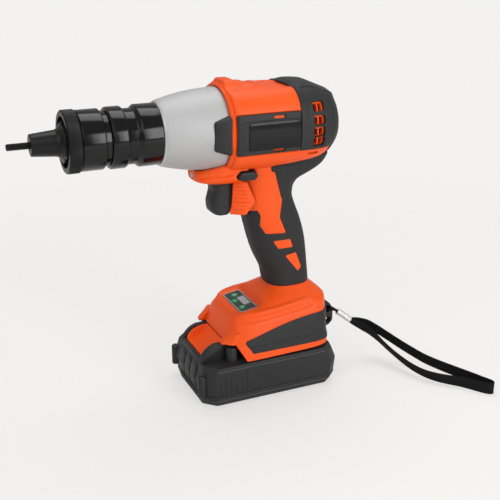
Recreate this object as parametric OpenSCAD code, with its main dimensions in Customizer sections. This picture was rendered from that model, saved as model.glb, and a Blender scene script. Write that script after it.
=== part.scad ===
// Battery rivet nut tool: a pistol-grip puller that stands on its slide-on battery pack.
// Lengths are millimetres. +Z is up, the nose points along -X, and the origin is the
// middle of the battery's flat base.

/* [Battery] */
// Length of the battery pack at its widest level
battery_l = 118; // [112:1:124]
// Width of the battery pack
battery_w = 76; // [74:1:82]
// Height of the battery's side walls
battery_h = 34; // [33:0.5:36]
// Wall of the battery case
battery_wall = 2.4; // [2:0.1:2.6]
// Diameter of one cell
cell_d = 18.4; // [17.8:0.1:18.6]
// Room in the battery beyond each end of the cells
cell_end_room = 5.5; // [5:0.25:6.5]
// Travel of the battery's latch button
latch_travel = 3; // [2:0.25:3.5]

/* [Foot] */
// Width of the foot at its rim
foot_w = 73; // [71:0.5:76]
// Height of the crease round the foot's shoulder
shoulder_h = 69; // [67:0.5:71]
// Wall of the clamshell housing
shell_wall = 3; // [2.6:0.1:3.2]
// Travel of a panel button
button_travel = 0.5; // [0.3:0.1:0.6]

/* [Handle] */
// Height of the rubber grip's lower rim
grip_rim_h = 83.5; // [82:0.5:86]
// Depth of the grip from front to back
grip_d = 40; // [38:0.5:42]
// Width of the grip
grip_w = 37; // [36:0.5:40]
// Thickness of the rubber
rubber_t = 2.2; // [1.8:0.1:2.4]
// Width of the trigger
trigger_w = 20; // [18:0.5:21]
// Travel of the trigger
trigger_travel = 6; // [4:0.5:6.5]
// Sideways travel of the direction selector from its middle
selector_travel = 2.5; // [1.5:0.5:3]

/* [Barrel] */
// Height of the tool's axis above the base
axis_h = 211; // [206:1:216]
// Width of the motor barrel
barrel_w = 69; // [67:0.5:72]
// Height of the barrel above the axis
barrel_up = 31.5; // [31:0.5:33]
// Depth of the barrel below the axis
barrel_down = 31; // [31:0.5:33]
// Distance from the origin forward to the barrel's front edge
barrel_front = 36; // [35:0.5:37]
// Distance from the origin back to the barrel's rear end
barrel_rear = 57; // [56:0.5:60]
// Thickness of the rear cap
cap_t = 2.6; // [2.2:0.1:2.8]

/* [Gear case] */
// Length of the bare gear case in front of the barrel
case_l = 43; // [41:0.5:45]
// Diameter of the gear case at its front edge
case_front_d = 46.4; // [45:0.2:48]
// Diameter of the gear case at the barrel
case_rear_d = 60; // [59:0.2:60.4]
// Module of the gear teeth
tooth_module = 0.9; // [0.86:0.01:0.92]
// Diameter of the stator
stator_d = 50; // [48:0.5:51]
// Length of the stator
stator_l = 32; // [28:0.5:33]
// Stroke of the pull shaft
pull_stroke = 8; // [5:0.5:8.5]

/* [Nose] */
// Diameter of the nose collars
collar_d = 44; // [42:0.5:45]
// Length of the rear collar
rear_collar_l = 16; // [14:0.5:18]
// Length of the neck in front of the rear collar
neck_l = 8; // [6:0.5:9]
// Length of the stroke ring
stroke_ring_l = 12; // [10:0.5:13]
// Length of the plain sleeve
sleeve_l = 16.5; // [15:0.5:18]
// Length of the front lock ring
lock_ring_l = 9.5; // [8.5:0.5:11]
// Diameter of the nosepiece at its tip
tip_d = 15.4; // [14:0.2:16.4]
// Length of the nosepiece in front of the lock ring
tip_l = 22.4; // [20:0.2:24]
// Thread diameter of the mandrel
mandrel_d = 5; // [4:0.5:5]
// Length of the mandrel in front of the nosepiece
mandrel_out = 15.6; // [12:0.2:20]

/* [Strap] */
// Width of the wrist webbing
webbing_w = 10; // [8:0.5:11]
// Thickness of the wrist webbing
webbing_t = 1.4; // [1:0.1:1.6]
// Diameter of the lug cord
cord_d = 2; // [1.6:0.1:2]

/* [Hidden] */

// Clearances: between pieces that are fixed together, between pieces that move, in a running
// fit, and the overrun of every cut.
fit_gap = 0.2;
move_gap = 0.5;
run_gap = 0.06;
over = 1;
// Facets of turned pieces, of small round features, of round cuts in moulded shells, and sides
// of lofted sections outside and inside.
turn_fn = 96;
small_fn = 24;
shell_fn = 16;
bead_fn = 8;
ring_sides = 28;
room_sides = 14;

// Lofted forms. A ring is a closed list of points, and a loft joins rings of equal length.
function power(v, e) = sign(v) * pow(abs(v), e);
function mix(a, b, t) = a + (b - a) * t;
function loft_faces(count, sides) = concat(
    [[for (k = [sides - 1 : -1 : 0]) k]],
    [for (r = [0 : count - 2], k = [0 : sides - 1]) each [
        [r * sides + k, r * sides + (k + 1) % sides, (r + 1) * sides + (k + 1) % sides],
        [r * sides + k, (r + 1) * sides + (k + 1) % sides, (r + 1) * sides + k]]],
    [[for (k = [0 : sides - 1]) (count - 1) * sides + k]]);
module loft(rings) {
    polyhedron([for (ring = rings) each ring], loft_faces(len(rings), len(rings[0])));
}
module mirrored(left) {
    if (left) children();
    else mirror([0, 1, 0]) children();
}
// A profile of [x, z] points, given a width in Y about the middle plane.
module side_plate(points, y0, y1) {
    translate([0, y1, 0]) rotate([90, 0, 0]) linear_extrude(y1 - y0) polygon(points);
}
// A box between two corners.
module block(low, high) {
    translate(low) cube(high - low);
}

// Turned pieces lie along the tool's axis, and their profiles are [radius, x] points.
module lathe(profile, facets = turn_fn) {
    translate([0, 0, axis_h]) rotate([0, 90, 0]) rotate_extrude($fn = facets) polygon(profile);
}
module tube(x0, x1, r0, r1, facets = turn_fn) {
    lathe([[r0, x0], [r1, x0], [r1, x1], [r0, x1]], facets);
}
module rod(x0, x1, r, facets = turn_fn) {
    tube(x0, x1, 0, r, facets);
}
// A round bar across the tool, at [x, z].
module cross_bar(at, y0, y1, r, facets = small_fn) {
    translate([at[0], y1, at[1]]) rotate([90, 0, 0]) cylinder(y1 - y0, r, r, $fn = facets);
}

// Barrel form: sections across the axis, as shares of its length, its half width, its height above
// the axis and its depth below, then the squareness.
barrel_l = barrel_front + barrel_rear;
barrel_square = 2.8;
barrel_shares = [
    [0, 0.92, 1, 1, 2.1], [0.06, 1, 1, 1, barrel_square], [0.54, 1, 1, 1, barrel_square],
    [0.72, 0.985, 0.985, 0.985, 2.6], [0.84, 0.955, 0.955, 0.93, 2.3], [0.92, 0.89, 0.885, 0.8, 2.2],
    [0.97, 0.79, 0.78, 0.62, 2.15], [1, 0.63, 0.64, 0.42, 2.1]
];
cap_proud = 0.8;
cap_front_x = 20;
strip_top = axis_h - barrel_down / 2;
strip_end_x = barrel_rear * 0.84;
function barrel_ring(x, half_w, up, down, square, sides) = [for (k = [0 : sides - 1])
    let (t = 360 * k / sides)
    [x, -half_w * power(cos(t), 2 / square),
     axis_h + (sin(t) < 0 ? down : up) * power(sin(t), 2 / square)]];
module barrel_form(inset, sides = ring_sides) {
    loft([for (s = barrel_shares)
        barrel_ring(-barrel_front + inset + (barrel_l - 2 * inset) * s[0],
            barrel_w / 2 * s[1] - inset, barrel_up * s[2] - inset, barrel_down * s[3] - inset, s[4], sides)]);
}
// Half width of the barrel's middle length at a height above the axis.
function barrel_y(z, inset) = let (h = (z < 0 ? barrel_down : barrel_up) - inset)
    (barrel_w / 2 - inset) * pow(1 - pow(abs(z) / h, barrel_square), 1 / barrel_square);

// Handle form: level sections from the foot to the barrel, as shares of the handle's height,
// then front and rear edges as shares of its depth, its width, and the squareness.
handle_z0 = grip_rim_h - shell_wall * 2;
handle_z1 = axis_h - barrel_down * 0.6;
handle_square = 2.5;
handle_shares = [
    [0, 0.2, 1.09, 0.92, handle_square], [0.157, 0.112, 1.045, 0.935, handle_square],
    [0.27, -0.05, 1.012, 0.96, handle_square], [0.357, -0.14, 0.982, 0.98, handle_square],
    [0.443, -0.205, 0.925, 1, handle_square], [0.53, -0.27, 0.845, 1.015, handle_square],
    [0.617, -0.335, 0.74, 1.03, handle_square], [0.687, -0.38, 0.67, 1.045, handle_square],
    [0.757, -0.41, 0.69, 1.07, handle_square], [0.809, -0.43, 0.8, 1.1, 2.6],
    [0.845, -0.45, 1.07, 1.125, 2.9], [0.89, -0.475, 1.29, 1.145, 3.3], [0.945, -0.5, 1.38, 1.16, 3.8],
    [1, -0.52, 1.4, 1.16, 4]
];
function oval_ring(z, x0, x1, half_w, square, tilt, sides) = [for (k = [0 : sides - 1])
    let (t = 360 * k / sides, c = power(cos(t), 2 / square), s = power(sin(t), 2 / square))
    let (x = mix(x0, x1, (1 + c) / 2))
    [x, -half_w * s, z + tilt * (x - (x0 + x1) / 2)]];
module handle_form(inset, sides = ring_sides) {
    loft([for (s = handle_shares)
        oval_ring(mix(handle_z0, handle_z1, s[0]), grip_d * s[1] + inset, grip_d * s[2] - inset,
            grip_w / 2 * s[3] - inset, s[4], 0, sides)]);
}

// Foot form: level sections from the rim up to the handle: the height's share of the shoulder,
// front and rear edges as shares of the battery's length, the width, squareness and tilt.
joint_gap = 1.6;
foot_rim = battery_h + joint_gap;
foot_shares = [
    [0, -0.332, 0.435, 1, 6, 0.02], [0.31, -0.315, 0.452, 0.967, 6, 0.03],
    [0.6, -0.291, 0.458, 0.926, 5.5, 0.045], [0.85, -0.266, 0.458, 0.877, 5, 0.06],
    [1, -0.246, 0.455, 0.835, 4.6, 0.065], [1.06, -0.225, 0.448, 0.8, 4.2, 0.06],
    [1.135, -0.15, 0.436, 0.735, 3.6, 0.05], [1.225, -0.065, 0.415, 0.655, 3.2, 0.03],
    [1.31, 0, 0.392, 0.57, 2.8, 0.015], [1.38, 0.045, 0.372, 0.5, 2.6, 0],
    [1.45, 0.07, 0.355, 0.44, 2.5, 0]
];
function foot_ring(s, inset, sides) = oval_ring(mix(foot_rim, shoulder_h, s[0]), battery_l * s[1] + inset,
    battery_l * s[2] - inset, foot_w / 2 * s[3] - inset, s[4], s[5], sides);
module foot_form(inset, sides = ring_sides) {
    loft([for (s = foot_shares) foot_ring(s, inset, sides)]);
}
// The foot's front is cut back above the battery's latch hump.
hump_top = battery_h * 1.4;
notch_clear = 0.8;
notch_points = [
    [-battery_l, hump_top + notch_clear], [-battery_l * 0.263, hump_top + notch_clear],
    [-battery_l * 0.195, foot_rim - over], [-battery_l, foot_rim - over]
];

// Gussets at the foot's front, one on each side of the latch.
gusset_shares = [[-0.347, 0], [-0.343, 0.1], [-0.262, 0.5], [-0.24, 0.5], [-0.24, 0]];
gusset_t = 6;
gusset_y = foot_w * 0.33;

// Chin in front of the trigger: sections along X as shares of the chin's reach, with half width,
// top and bottom as shares of the barrel's width and depth.
chin_reach = case_l * 0.38;
chin_shares = [
    [1, 0.11, 0.93, 1.175], [0.94, 0.16, 0.92, 1.205], [0.78, 0.2, 0.88, 1.235], [0.5, 0.25, 0.8, 1.265],
    [0.1, 0.3, 0.7, 1.28], [-0.6, 0.335, 0.5, 1.29], [-1.2, 0.335, 0.4, 1.29]
];
chin_square = 3;
function chin_ring(s) = let (z0 = axis_h - barrel_down * s[3], z1 = axis_h - barrel_down * s[2])
    [for (k = [0 : room_sides - 1]) let (t = 360 * k / room_sides)
        [-barrel_front - chin_reach * s[0], -barrel_w * s[1] * power(cos(t), 2 / chin_square),
         (z0 + z1) / 2 + (z1 - z0) / 2 * power(sin(t), 2 / chin_square)]];
module chin_form() {
    loft([for (s = chin_shares) chin_ring(s)]);
}

// Gear case and nose, from the barrel forward.
case_rear_x = -barrel_front;
case_front_x = case_rear_x - case_l;
case_bulge_share = 0.0233;
spigot_l = 8;
case_steps = 10;
function case_r(t) = mix(case_front_d, case_rear_d, t) / 2 + case_rear_d * case_bulge_share * sin(180 * t);
edge_bevel = 0.6;
collar_r = collar_d / 2;
neck_drop = 2.3;
neck_r = collar_r - neck_drop;
sleeve_drop = 0.75;
sleeve_r = collar_r - sleeve_drop;
stroke_drop = 0.25;
stroke_r = collar_r - stroke_drop;
groove_l = 4;
groove_drop = 2.6;
groove_r = collar_r - groove_drop;
collar_front_x = case_front_x - rear_collar_l;
neck_front_x = collar_front_x - neck_l;
stroke_front_x = neck_front_x - stroke_ring_l;
groove_front_x = stroke_front_x - groove_l;
sleeve_front_x = groove_front_x - sleeve_l;
lock_front_x = sleeve_front_x - lock_ring_l;
tip_front_x = lock_front_x - tip_l;
mandrel_front_x = tip_front_x - mandrel_out;
adapter_spigot_r = 15;
adapter_rear_r = 17;
adapter_rear_l = 8;
adapter_bore_r = 12.2;
adapter_spigot_front_x = stroke_front_x - groove_l / 2;
sleeve_spigot_r = 16;
sleeve_spigot_l = 5.5;
sleeve_spigot_front_x = sleeve_front_x - sleeve_spigot_l;
sleeve_bore_r = 11.5;
nosepiece_spigot_r = 9;
nosepiece_spigot_l = 14;
mandrel_gap = 0.4;
nosepiece_bore_r = mandrel_d / 2 + mandrel_gap;
flange_r = 15;
flange_l = 5.2;
lock_rim = 4.2;
lock_opening_r = collar_r - lock_rim;
lock_lip_l = 6;
tip_flare = 1.5;
tip_root_r = tip_d / 2 + tip_flare;
tip_root_share = 0.78;
chuck_r = 9.6;
chuck_gap = 3;
chuck_front_x = sleeve_spigot_front_x + nosepiece_spigot_l + chuck_gap;
relief_l = 3;
relief_front_x = tip_front_x - move_gap;
relief_r = mandrel_d / 2 - mandrel_gap;
mandrel_head_r = 4.5;
mandrel_head_l = 6;
chuck_lip_l = 5;
mandrel_head_x = chuck_front_x + chuck_lip_l;
chuck_grip_l = 10;
chuck_rear_x = mandrel_head_x + mandrel_head_l + chuck_grip_l;
shaft_stub_x = mandrel_head_x + mandrel_head_l + fit_gap;
shaft_stub_r = 6;
shaft_r = 7;
shaft_in_l = 19;
shaft_rear_x = case_front_x + shaft_in_l;

// Drive train, from the thrust bearing back to the rear bearing.
sun_teeth = 12;
planet_teeth = 18;
ring_teeth = sun_teeth + 2 * planet_teeth;
planet_count = 3;
addendum_share = 0.72;
dedendum_share = 1.2;
tooth_width_share = 0.36;
tooth_tip_share = 0.16;
orbit_r = tooth_module * (sun_teeth + planet_teeth) / 2;
ring_rim = 3;
ring_gear_r = tooth_module * ring_teeth / 2 + ring_rim;
gear_l = 13;
gear_lead = 15.5;
gear_front_x = case_rear_x - gear_lead;
ring_gear_l = 15.8;
ring_front_x = gear_front_x - move_gap;
carrier_plate_l = 5.8;
carrier_rim = 4;
carrier_plate_r = orbit_r + carrier_rim;
carrier_plate_x = ring_front_x - carrier_plate_l - fit_gap;
carrier_hub_r = 11;
carrier_hub_in = 3;
carrier_hub_x = case_front_x + carrier_hub_in;
planet_pin_r = 1.9;
planet_pin_end = 0.6;
sun_extra_l = 2;
thrust_in = 9;
thrust_x0 = case_front_x + thrust_in;
thrust_l = 9.5;
thrust_r = 19.8;
thrust_race = 2.4;
thrust_ball_count = 10;
plate_front_x = ring_front_x + ring_gear_l + fit_gap;
plate_l = 7.4;
plate_lip = 1;
front_bearing_x = plate_front_x + plate_lip;
bearing_r = 9.5;
bearing_l = 6;
bearing_race = 1.8;
bearing_ball_count = 7;
shaft_hole_r = 5;
rotor_shaft_r = 3;
rotor_core_r = stator_d * 0.27;
stator_front_x = -14;
stator_rear_x = stator_front_x + stator_l;
air_gap = 0.6;
stator_yoke = 3.6;
stator_tooth_w = 4.4;
stator_tooth_count = 9;
coil_w = 2.2;
coil_wall = 0.3;
coil_inner_gap = 0.6;
coil_outer_gap = 1.5;
hall_board_t = 1.6;
hall_board_x = stator_rear_x + coil_w;
hall_hole_gap = 3;
fan_x0 = 29;
fan_l = 8;
fan_disc_t = 1.6;
fan_r = 22;
fan_hub_r = 7;
fan_blade_count = 11;
fan_blade_t = 1.3;
fan_bearing_gap = 2;
rear_bearing_x = fan_x0 + fan_l + fan_bearing_gap;
rotor_end = 0.4;
rotor_rear_x = rear_bearing_x + bearing_l + rotor_end;
rotor_front_x = gear_front_x + rotor_end;

// Inside of the housing.
under_cap = cap_t - cap_proud + fit_gap;
cavity_lead = 1;
cavity_front_x = case_rear_x + spigot_l + cavity_lead;
cavity_rear_x = barrel_rear - shell_wall * 2.8;
rib_t = 3;
stator_rib_shares = [0.15, 0.75];
seat_rib_lip = 0.5;
split_gap = 0.05;
foot_floor = 4;
rail_half_w = 20;
rail_gap = 0.5;
rail_end_gap = 2;
terminal_half_w = 15;
terminal_l = 14;
foot_roof_share = 0.82;
screw_r = 1.4;
screw_head_r = 2.8;
screw_head_l = 2.4;
screw_seat_y = 8;
screw_tip_y = -9;
boss_r = 3.6;
screw_at = [
    [-barrel_front - chin_reach * 0.35, axis_h - barrel_down * 1.09],
    [-barrel_front * 0.055, axis_h - barrel_down * 1.06], [barrel_front * 0.11, axis_h - barrel_down * 2.4],
    [-battery_l * 0.235, mix(foot_rim, shoulder_h, 0.66)], [battery_l * 0.36, shoulder_h]
];

cap_screw_y = barrel_w * 0.22;
cap_screw_drop = barrel_down * 0.1;
cap_screw_l = 7;
cap_seat_depth = 0.8;
cap_seat_x = barrel_rear + cap_proud - cap_seat_depth;

// Crest and waves on top of the barrel.
crest_points = [
    [-barrel_front * 0.9, axis_h + barrel_up * 0.93], [-barrel_front * 0.81, axis_h + barrel_up * 1.12],
    [-barrel_front * 0.617, axis_h + barrel_up * 1.12], [-barrel_front * 0.41, axis_h + barrel_up],
    [-barrel_front * 0.33, axis_h + barrel_up * 0.88]
];
crest_half_w = barrel_w * 0.13;
crest_base_half_w = barrel_w * 0.27;
crest_base_drop = barrel_up * 0.16;
wave_count = 3;
wave_pitch = barrel_front * 0.3;
wave_r = 5;
wave_rise = 0.7;
wave_half_w = barrel_w * 0.2;
wave_x0 = -barrel_front * 0.32;

// Side panel, label plate and vents.
panel_x0 = -barrel_front * 0.83;
panel_x1 = cap_front_x - fit_gap;
panel_z0 = -barrel_down * 0.47;
panel_z1 = barrel_up * 0.46;
panel_t = 1.6;
panel_proud = 0.3;
// The gear case's spigot has its wall between the ring gear and the panels' floors.
spigot_share = 0.54321;
spigot_r = mix(ring_gear_r + fit_gap, barrel_w / 2 - panel_t, spigot_share);
plate_x0 = -barrel_front * 0.58;
plate_z0 = -barrel_down * 0.37;
plate_z1 = barrel_up * 0.27;
plate_proud = 1;
panel_steps = 10;
slot_l = 10;
slot_h = 2.4;
slot_x = 4;
slot_shares = [0.82, -0.83];
vent_x = barrel_rear * 0.62;
vent_l = 9;
vent_h = 6.4;
vent_corner_r = 1;
vent_z_shares = [0.525, 0.21, -0.065, -0.305];
vent_slot_l = 2.6;
vent_slot_pitch = 4;
pad_l = 9;
pad_front_half_h = 10;
pad_rear_half_h = 14;
pad_depth = 12;
pad_front_sink = 2.2;
pad_rise = 2.6;

// Orange fields of the handle, as round-cornered patches in side view. Each patch lists [x, z]
// corners, as shares of the grip's depth and of the height between the grip's rim and the axis.
field_corner_r = 0.7;
field_h = axis_h - grip_rim_h;
field_shares = [
    [[-1, 0.8], [0.02, 0.8], [0.06, 0.74], [-1, 0.66]],
    [[-1, 0.72], [0.12, 0.74], [0.3, 0.557], [-0.23, 0.557], [-0.3, 0.52], [-0.42, 0.5], [-1, 0.5]],
    [[-0.23, 0.57], [0.3, 0.57], [0.25, 0.451], [-0.07, 0.48]],
    [[-0.07, 0.5], [0.27, 0.5], [0.25, 0.451], [-0.07, 0.415]],
    [[-0.07, 0.44], [0.25, 0.46], [0.385, 0.362], [0.03, 0.366], [-0.07, 0.415]],
    [[0.2, 0.302], [0.5, 0.302], [0.55, 0.263], [0.29, 0.263]],
    [[0.465, 0.2], [0.64, 0.208], [0.765, 0.115], [0.715, 0.1]],
    [[-1, 0.83], [2, 0.83], [2, 1.2], [-1, 1.2]]
];
module fields(grow) {
    for (patch = field_shares)
        hull() for (p = patch)
            translate([grip_d * p[0], grip_rim_h + field_h * p[1]])
                circle(field_corner_r + grow, $fn = bead_fn);
}
module fields_across(grow) {
    rotate([90, 0, 0]) linear_extrude(barrel_w * 2, center = true) fields(grow);
}

// Trigger, switch, selector and the ribbed shield behind the trigger.
trigger_top = axis_h - barrel_down * 1.25;
trigger_h = 25.8;
trigger_bottom = trigger_top - trigger_h;
trigger_front_x = -barrel_front * 1.11;
trigger_body_l = 19;
trigger_rear_x = trigger_front_x + trigger_body_l;
trigger_stem_l = 14;
trigger_round = 6;
shield_shares = [
    [-0.58, 0.69], [-0.4, 0.69], [-0.24, 0.575], [-0.42, 0.505], [-0.66, 0.505], [-0.55, 0.545], [-0.5, 0.6]
];
shield_rib_count = 7;
shield_rib_r = 0.7;
switch_x0 = trigger_rear_x + trigger_travel + trigger_stem_l;
switch_gap = 1;
switch_l = 24;
switch_w = 17;
switch_h = 17.2;
trigger_stem_half_w = trigger_w * 0.25;
trigger_spring_r = 2.2;
trigger_spring_t = 0.7;
selector_x0 = -barrel_front * 0.69;
selector_l = 15.5;
selector_h = 6.2;
selector_z0 = axis_h - barrel_down * 1.145;
selector_half_w = barrel_w * 0.365;
lens_r = 2.4;
lens_l = 5;
lens_x = -barrel_front - chin_reach + fit_gap;
lens_z = axis_h - barrel_down * 1.07;

// Foot panel with its screen and buttons.
panel_tilt = 10;
deck_l = 14.5;
deck_w = 35;
deck_t = 1.8;
deck_x = -battery_l * 0.12;
deck_rise = 1.3;
deck_z = shoulder_h + deck_rise;
button_r = 2.5;
button_rise = 0.5;
button_stem = 1.4;
button_at_shares = [[0.02, 0.33], [-0.24, 0.06], [-0.2, -0.33]];
screen_l = 5.4;
screen_w = 14;
screen_at_shares = [0.18, -0.02];
board_t = 1.6;
board_gap = 0.1;
board_leg_w = 0.9;
deck_drop = deck_t + button_stem + board_gap;

// Bumper on the foot's side: a band that follows the foot between two edges.
bumper_count = 14;
bumper_x0 = -battery_l * 0.2;
bumper_x1 = battery_l * 0.385;
bumper_t = 2;
bumper_proud = 0.6;
bumper_rise = 4.6;
bumper_z0 = foot_rim + bumper_rise;
bumper_top_front = mix(foot_rim, shoulder_h, 0.46);
bumper_top_rear = mix(foot_rim, shoulder_h, 0.85);

// Strap lug at the rear of the foot.
lug_x1 = battery_l * 0.59;
lug_x0 = battery_l * 0.42;
lug_drop = 1;
lug_z0 = foot_rim - lug_drop;
lug_top_drop = 11;
lug_z1 = shoulder_h - lug_top_drop;
lug_half_t = 2.4;
lug_corner_r = 4;
lug_hole_r = 3;
lug_hole_inset = 5.4;
lug_hole_x = lug_x1 - lug_hole_inset;
lug_hole_shares = [0.64, 0.22];
lug_web_gap = 1.2;
lug_web_y0 = lug_half_t + cord_d + lug_web_gap;
lug_web_y1 = lug_web_y0 + shell_wall;

// Battery pack: level sections as [height share, front share, rear share, width share].
pack_front = battery_l * 0.508;
pack_rear = battery_l * 0.492;
pack_corner_share = 0.076;
pack_shares = [
    [0, 0.945, 0.96, 0.868], [0.2, 0.968, 0.978, 1], [0.28, 0.97, 0.98, 1], [0.29, 0.97, 0.98, 1],
    [0.59, 1, 1, 1], [0.88, 0.96, 0.93, 1], [1, 0.942, 0.895, 0.985]
];
lower_rings = 3;
function pack_ring(s, inset) = let (
    z = battery_h * s[0], x0 = -pack_front * s[1] + inset, x1 = pack_rear * s[2] - inset,
    y = battery_w / 2 * s[3] - inset, c = battery_l * pack_corner_share)
    [[x1 - c, -y, z], [x0 + c, -y, z], [x0, -y + c, z], [x0, y - c, z], [x0 + c, y, z], [x1 - c, y, z],
     [x1, y - c, z], [x1, -y + c, z]];
cell_count = 5;
cell_gap = 0.6;
cell_pitch = cell_d + cell_gap;
cell_l = battery_w - 2 * cell_end_room;
cell_z = battery_wall + cell_d / 2 + fit_gap;
cell_room_gap = 0.4;
cell_room_x = cell_pitch * cell_count / 2 + cell_room_gap;
cell_room_y = cell_l / 2 + cell_room_gap;
tower_x0 = -battery_l * 0.2;
tower_x1 = battery_l * 0.36;
rail_depth = 4;
flange_half_w = rail_half_w + rail_depth;
flange_z0 = foot_rim + foot_floor + rail_gap;
tower_drop = 0.6;
tower_top = hump_top - tower_drop;
post_r = 3.3;
post_inset = 1.2;
post_x = -pack_front + post_inset;
post_y = battery_w * 0.395;
post_z0 = battery_h * 0.3;
post_z1 = battery_h * 0.78;
cheek_half_w = 22.3;
latch_half_w = 17.6;
hump_shares = [[0.485, 0.96], [0.48, 1.06], [0.465, 1.16], [0.44, 1.27], [0.41, 1.35], [0.375, 1.4],
    [0.29, 1.4], [0.29, 0.96]];
stop_r = 3.6;
stop_gap = 0.3;
stop_x = -battery_l * 0.29;
stop_y = cheek_half_w + stop_gap + stop_r;
stop_drop = 2;
stop_top = hump_top - stop_drop;
latch_shares = [[0.455, 1.02], [0.455, 1.12], [0.43, 1.12], [0.395, 1.15], [0.345, 1.24], [0.305, 1.385],
    [0.295, 1.385], [0.295, 1.02]];
latch_wall_t = 1.5;
latch_wall_shares = [[0.455, 1.04], [0.452, 1.14], [0.436, 1.23], [0.41, 1.31], [0.375, 1.36], [0.34, 1.385],
    [0.295, 1.385], [0.295, 1.04]];
pocket_shares = [[0.461, 0.78], [0.461, 2], [0.28, 2], [0.28, 0.78]];
latch_spring_r = 3;
latch_spring_t = 0.8;
battery_board_t = 1.6;
battery_board_gap = 0.3;
battery_board_z = cell_z + cell_d / 2 + battery_board_gap;

// Strap route, in points chosen along its run: the cord's loop through the lug, the ferrule
// and the webbing, which runs out, folds at its far end and comes back.
cord_points = [
    [75, -2.4, 45.4], [72.8, -2.2, 47], [70.6, -3.8, 48.4], [67.6, -4.2, 49.4], [65, -3.2, 49.4],
    [64.2, 0, 49.4], [65, 3.2, 49.4], [67.6, 4.2, 49.2], [70.8, 3.6, 48.2], [73.4, 1.4, 46.8], [75.8, 0, 45.4]
];
ferrule_from = [76, -1.3, 45];
ferrule_to = [87.5, -5.5, 36.5];
ferrule_r = 2.6;
webbing_points = [
    [87.5, -6.4, 35.8], [94, -11, 30.5], [101, -18, 25], [109, -27, 18], [117, -38, 11.5], [125, -50, 7.2],
    [133, -62, 5.6], [142, -77, 5.4], [151, -91, 5.4], [156.5, -99.5, 5.5], [159, -102, 5.6],
    [161, -100.5, 5.7], [159.5, -95, 5.8], [152, -83, 6], [144, -69, 6.6], [136, -54, 8.5], [127, -41, 12],
    [117.5, -29, 17], [108, -18, 23], [99, -9.5, 29], [92.5, -5.8, 33.5], [88.6, -4.4, 36.4]
];
cord_sides = 8;
// A swept tube takes its frame from the route: one axis level, the other across it.
function unit(v) = v / norm(v);
function heading(points, i) =
    unit(points[min(i + 1, len(points) - 1)] - points[max(i - 1, 0)]);
function level(dir) = unit(cross([0, 0, 1], dir));
function sweep_ring(points, i, across, along, sides) =
    let (dir = heading(points, i), side = level(dir), up = cross(dir, side))
    [for (k = [0 : sides - 1]) let (t = 360 * k / sides)
        points[i] + side * across * cos(t) - up * along * sin(t)];
module sweep(points, across, along) {
    loft([for (i = [0 : len(points) - 1]) sweep_ring(points, i, across, along, cord_sides)]);
}

// Nose

module mandrel() {
    color([0.1, 0.1, 0.1]) lathe([
        [0, mandrel_front_x], [mandrel_d / 2 - edge_bevel, mandrel_front_x],
        [mandrel_d / 2, mandrel_front_x + edge_bevel], [mandrel_d / 2, relief_front_x],
        [relief_r, relief_front_x], [relief_r, relief_front_x + relief_l],
        [mandrel_d / 2, relief_front_x + relief_l], [mandrel_d / 2, mandrel_head_x],
        [mandrel_head_r, mandrel_head_x], [mandrel_head_r, mandrel_head_x + mandrel_head_l],
        [0, mandrel_head_x + mandrel_head_l]]);
}

module nosepiece() {
    root_x = tip_front_x + tip_l * tip_root_share;
    flange_x = sleeve_spigot_front_x - flange_l;
    mid_x = (root_x + flange_x) / 2;
    color([0.08, 0.08, 0.08]) {
        lathe([
            [nosepiece_bore_r, tip_front_x], [tip_d / 2 - edge_bevel, tip_front_x],
            [tip_d / 2, tip_front_x + edge_bevel], [tip_root_r, root_x],
            [mix(tip_root_r, flange_r, 0.22), mid_x], [flange_r * 0.86, flange_x],
            [flange_r * 0.86, sleeve_spigot_front_x - fit_gap],
            [nosepiece_spigot_r, sleeve_spigot_front_x - fit_gap],
            [nosepiece_spigot_r, sleeve_spigot_front_x + nosepiece_spigot_l],
            [nosepiece_bore_r, sleeve_spigot_front_x + nosepiece_spigot_l]]);
        difference() {
            translate([flange_x, 0, axis_h]) rotate([0, 90, 0])
                cylinder(flange_l - fit_gap, flange_r, flange_r, $fn = 6);
            rod(flange_x - over, sleeve_spigot_front_x + over, flange_r * 0.8);
        }
    }
}

module front_lock_ring() {
    color([0.1, 0.1, 0.1]) lathe([
        [lock_opening_r, lock_front_x], [collar_r - edge_bevel, lock_front_x],
        [collar_r, lock_front_x + edge_bevel], [collar_r, sleeve_front_x - edge_bevel - fit_gap],
        [collar_r - edge_bevel, sleeve_front_x - fit_gap],
        [sleeve_spigot_r + run_gap, sleeve_front_x - fit_gap],
        [sleeve_spigot_r + run_gap, lock_front_x + lock_lip_l], [lock_opening_r, lock_front_x + lock_lip_l]]);
}

module nose_sleeve() {
    color([0.06, 0.06, 0.06]) lathe([
        [nosepiece_spigot_r + fit_gap, sleeve_spigot_front_x], [sleeve_spigot_r, sleeve_spigot_front_x],
        [sleeve_spigot_r, sleeve_front_x], [sleeve_r - edge_bevel, sleeve_front_x],
        [sleeve_r, sleeve_front_x + edge_bevel], [sleeve_r, groove_front_x - edge_bevel],
        [sleeve_r - edge_bevel, groove_front_x], [groove_r, groove_front_x],
        [groove_r, stroke_front_x - fit_gap], [adapter_spigot_r + fit_gap, stroke_front_x - fit_gap],
        [adapter_spigot_r + fit_gap, adapter_spigot_front_x - fit_gap],
        [sleeve_bore_r, adapter_spigot_front_x - fit_gap],
        [sleeve_bore_r, sleeve_spigot_front_x + nosepiece_spigot_l],
        [nosepiece_spigot_r + fit_gap, sleeve_spigot_front_x + nosepiece_spigot_l]]);
}

module stroke_ring() {
    color([0.06, 0.06, 0.06]) lathe([
        [adapter_spigot_r + run_gap, stroke_front_x], [stroke_r - edge_bevel * 2, stroke_front_x],
        [stroke_r, stroke_front_x + edge_bevel * 2], [stroke_r, neck_front_x - edge_bevel - fit_gap],
        [stroke_r - edge_bevel, neck_front_x - fit_gap],
        [adapter_spigot_r + run_gap, neck_front_x - fit_gap]]);
}

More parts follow.
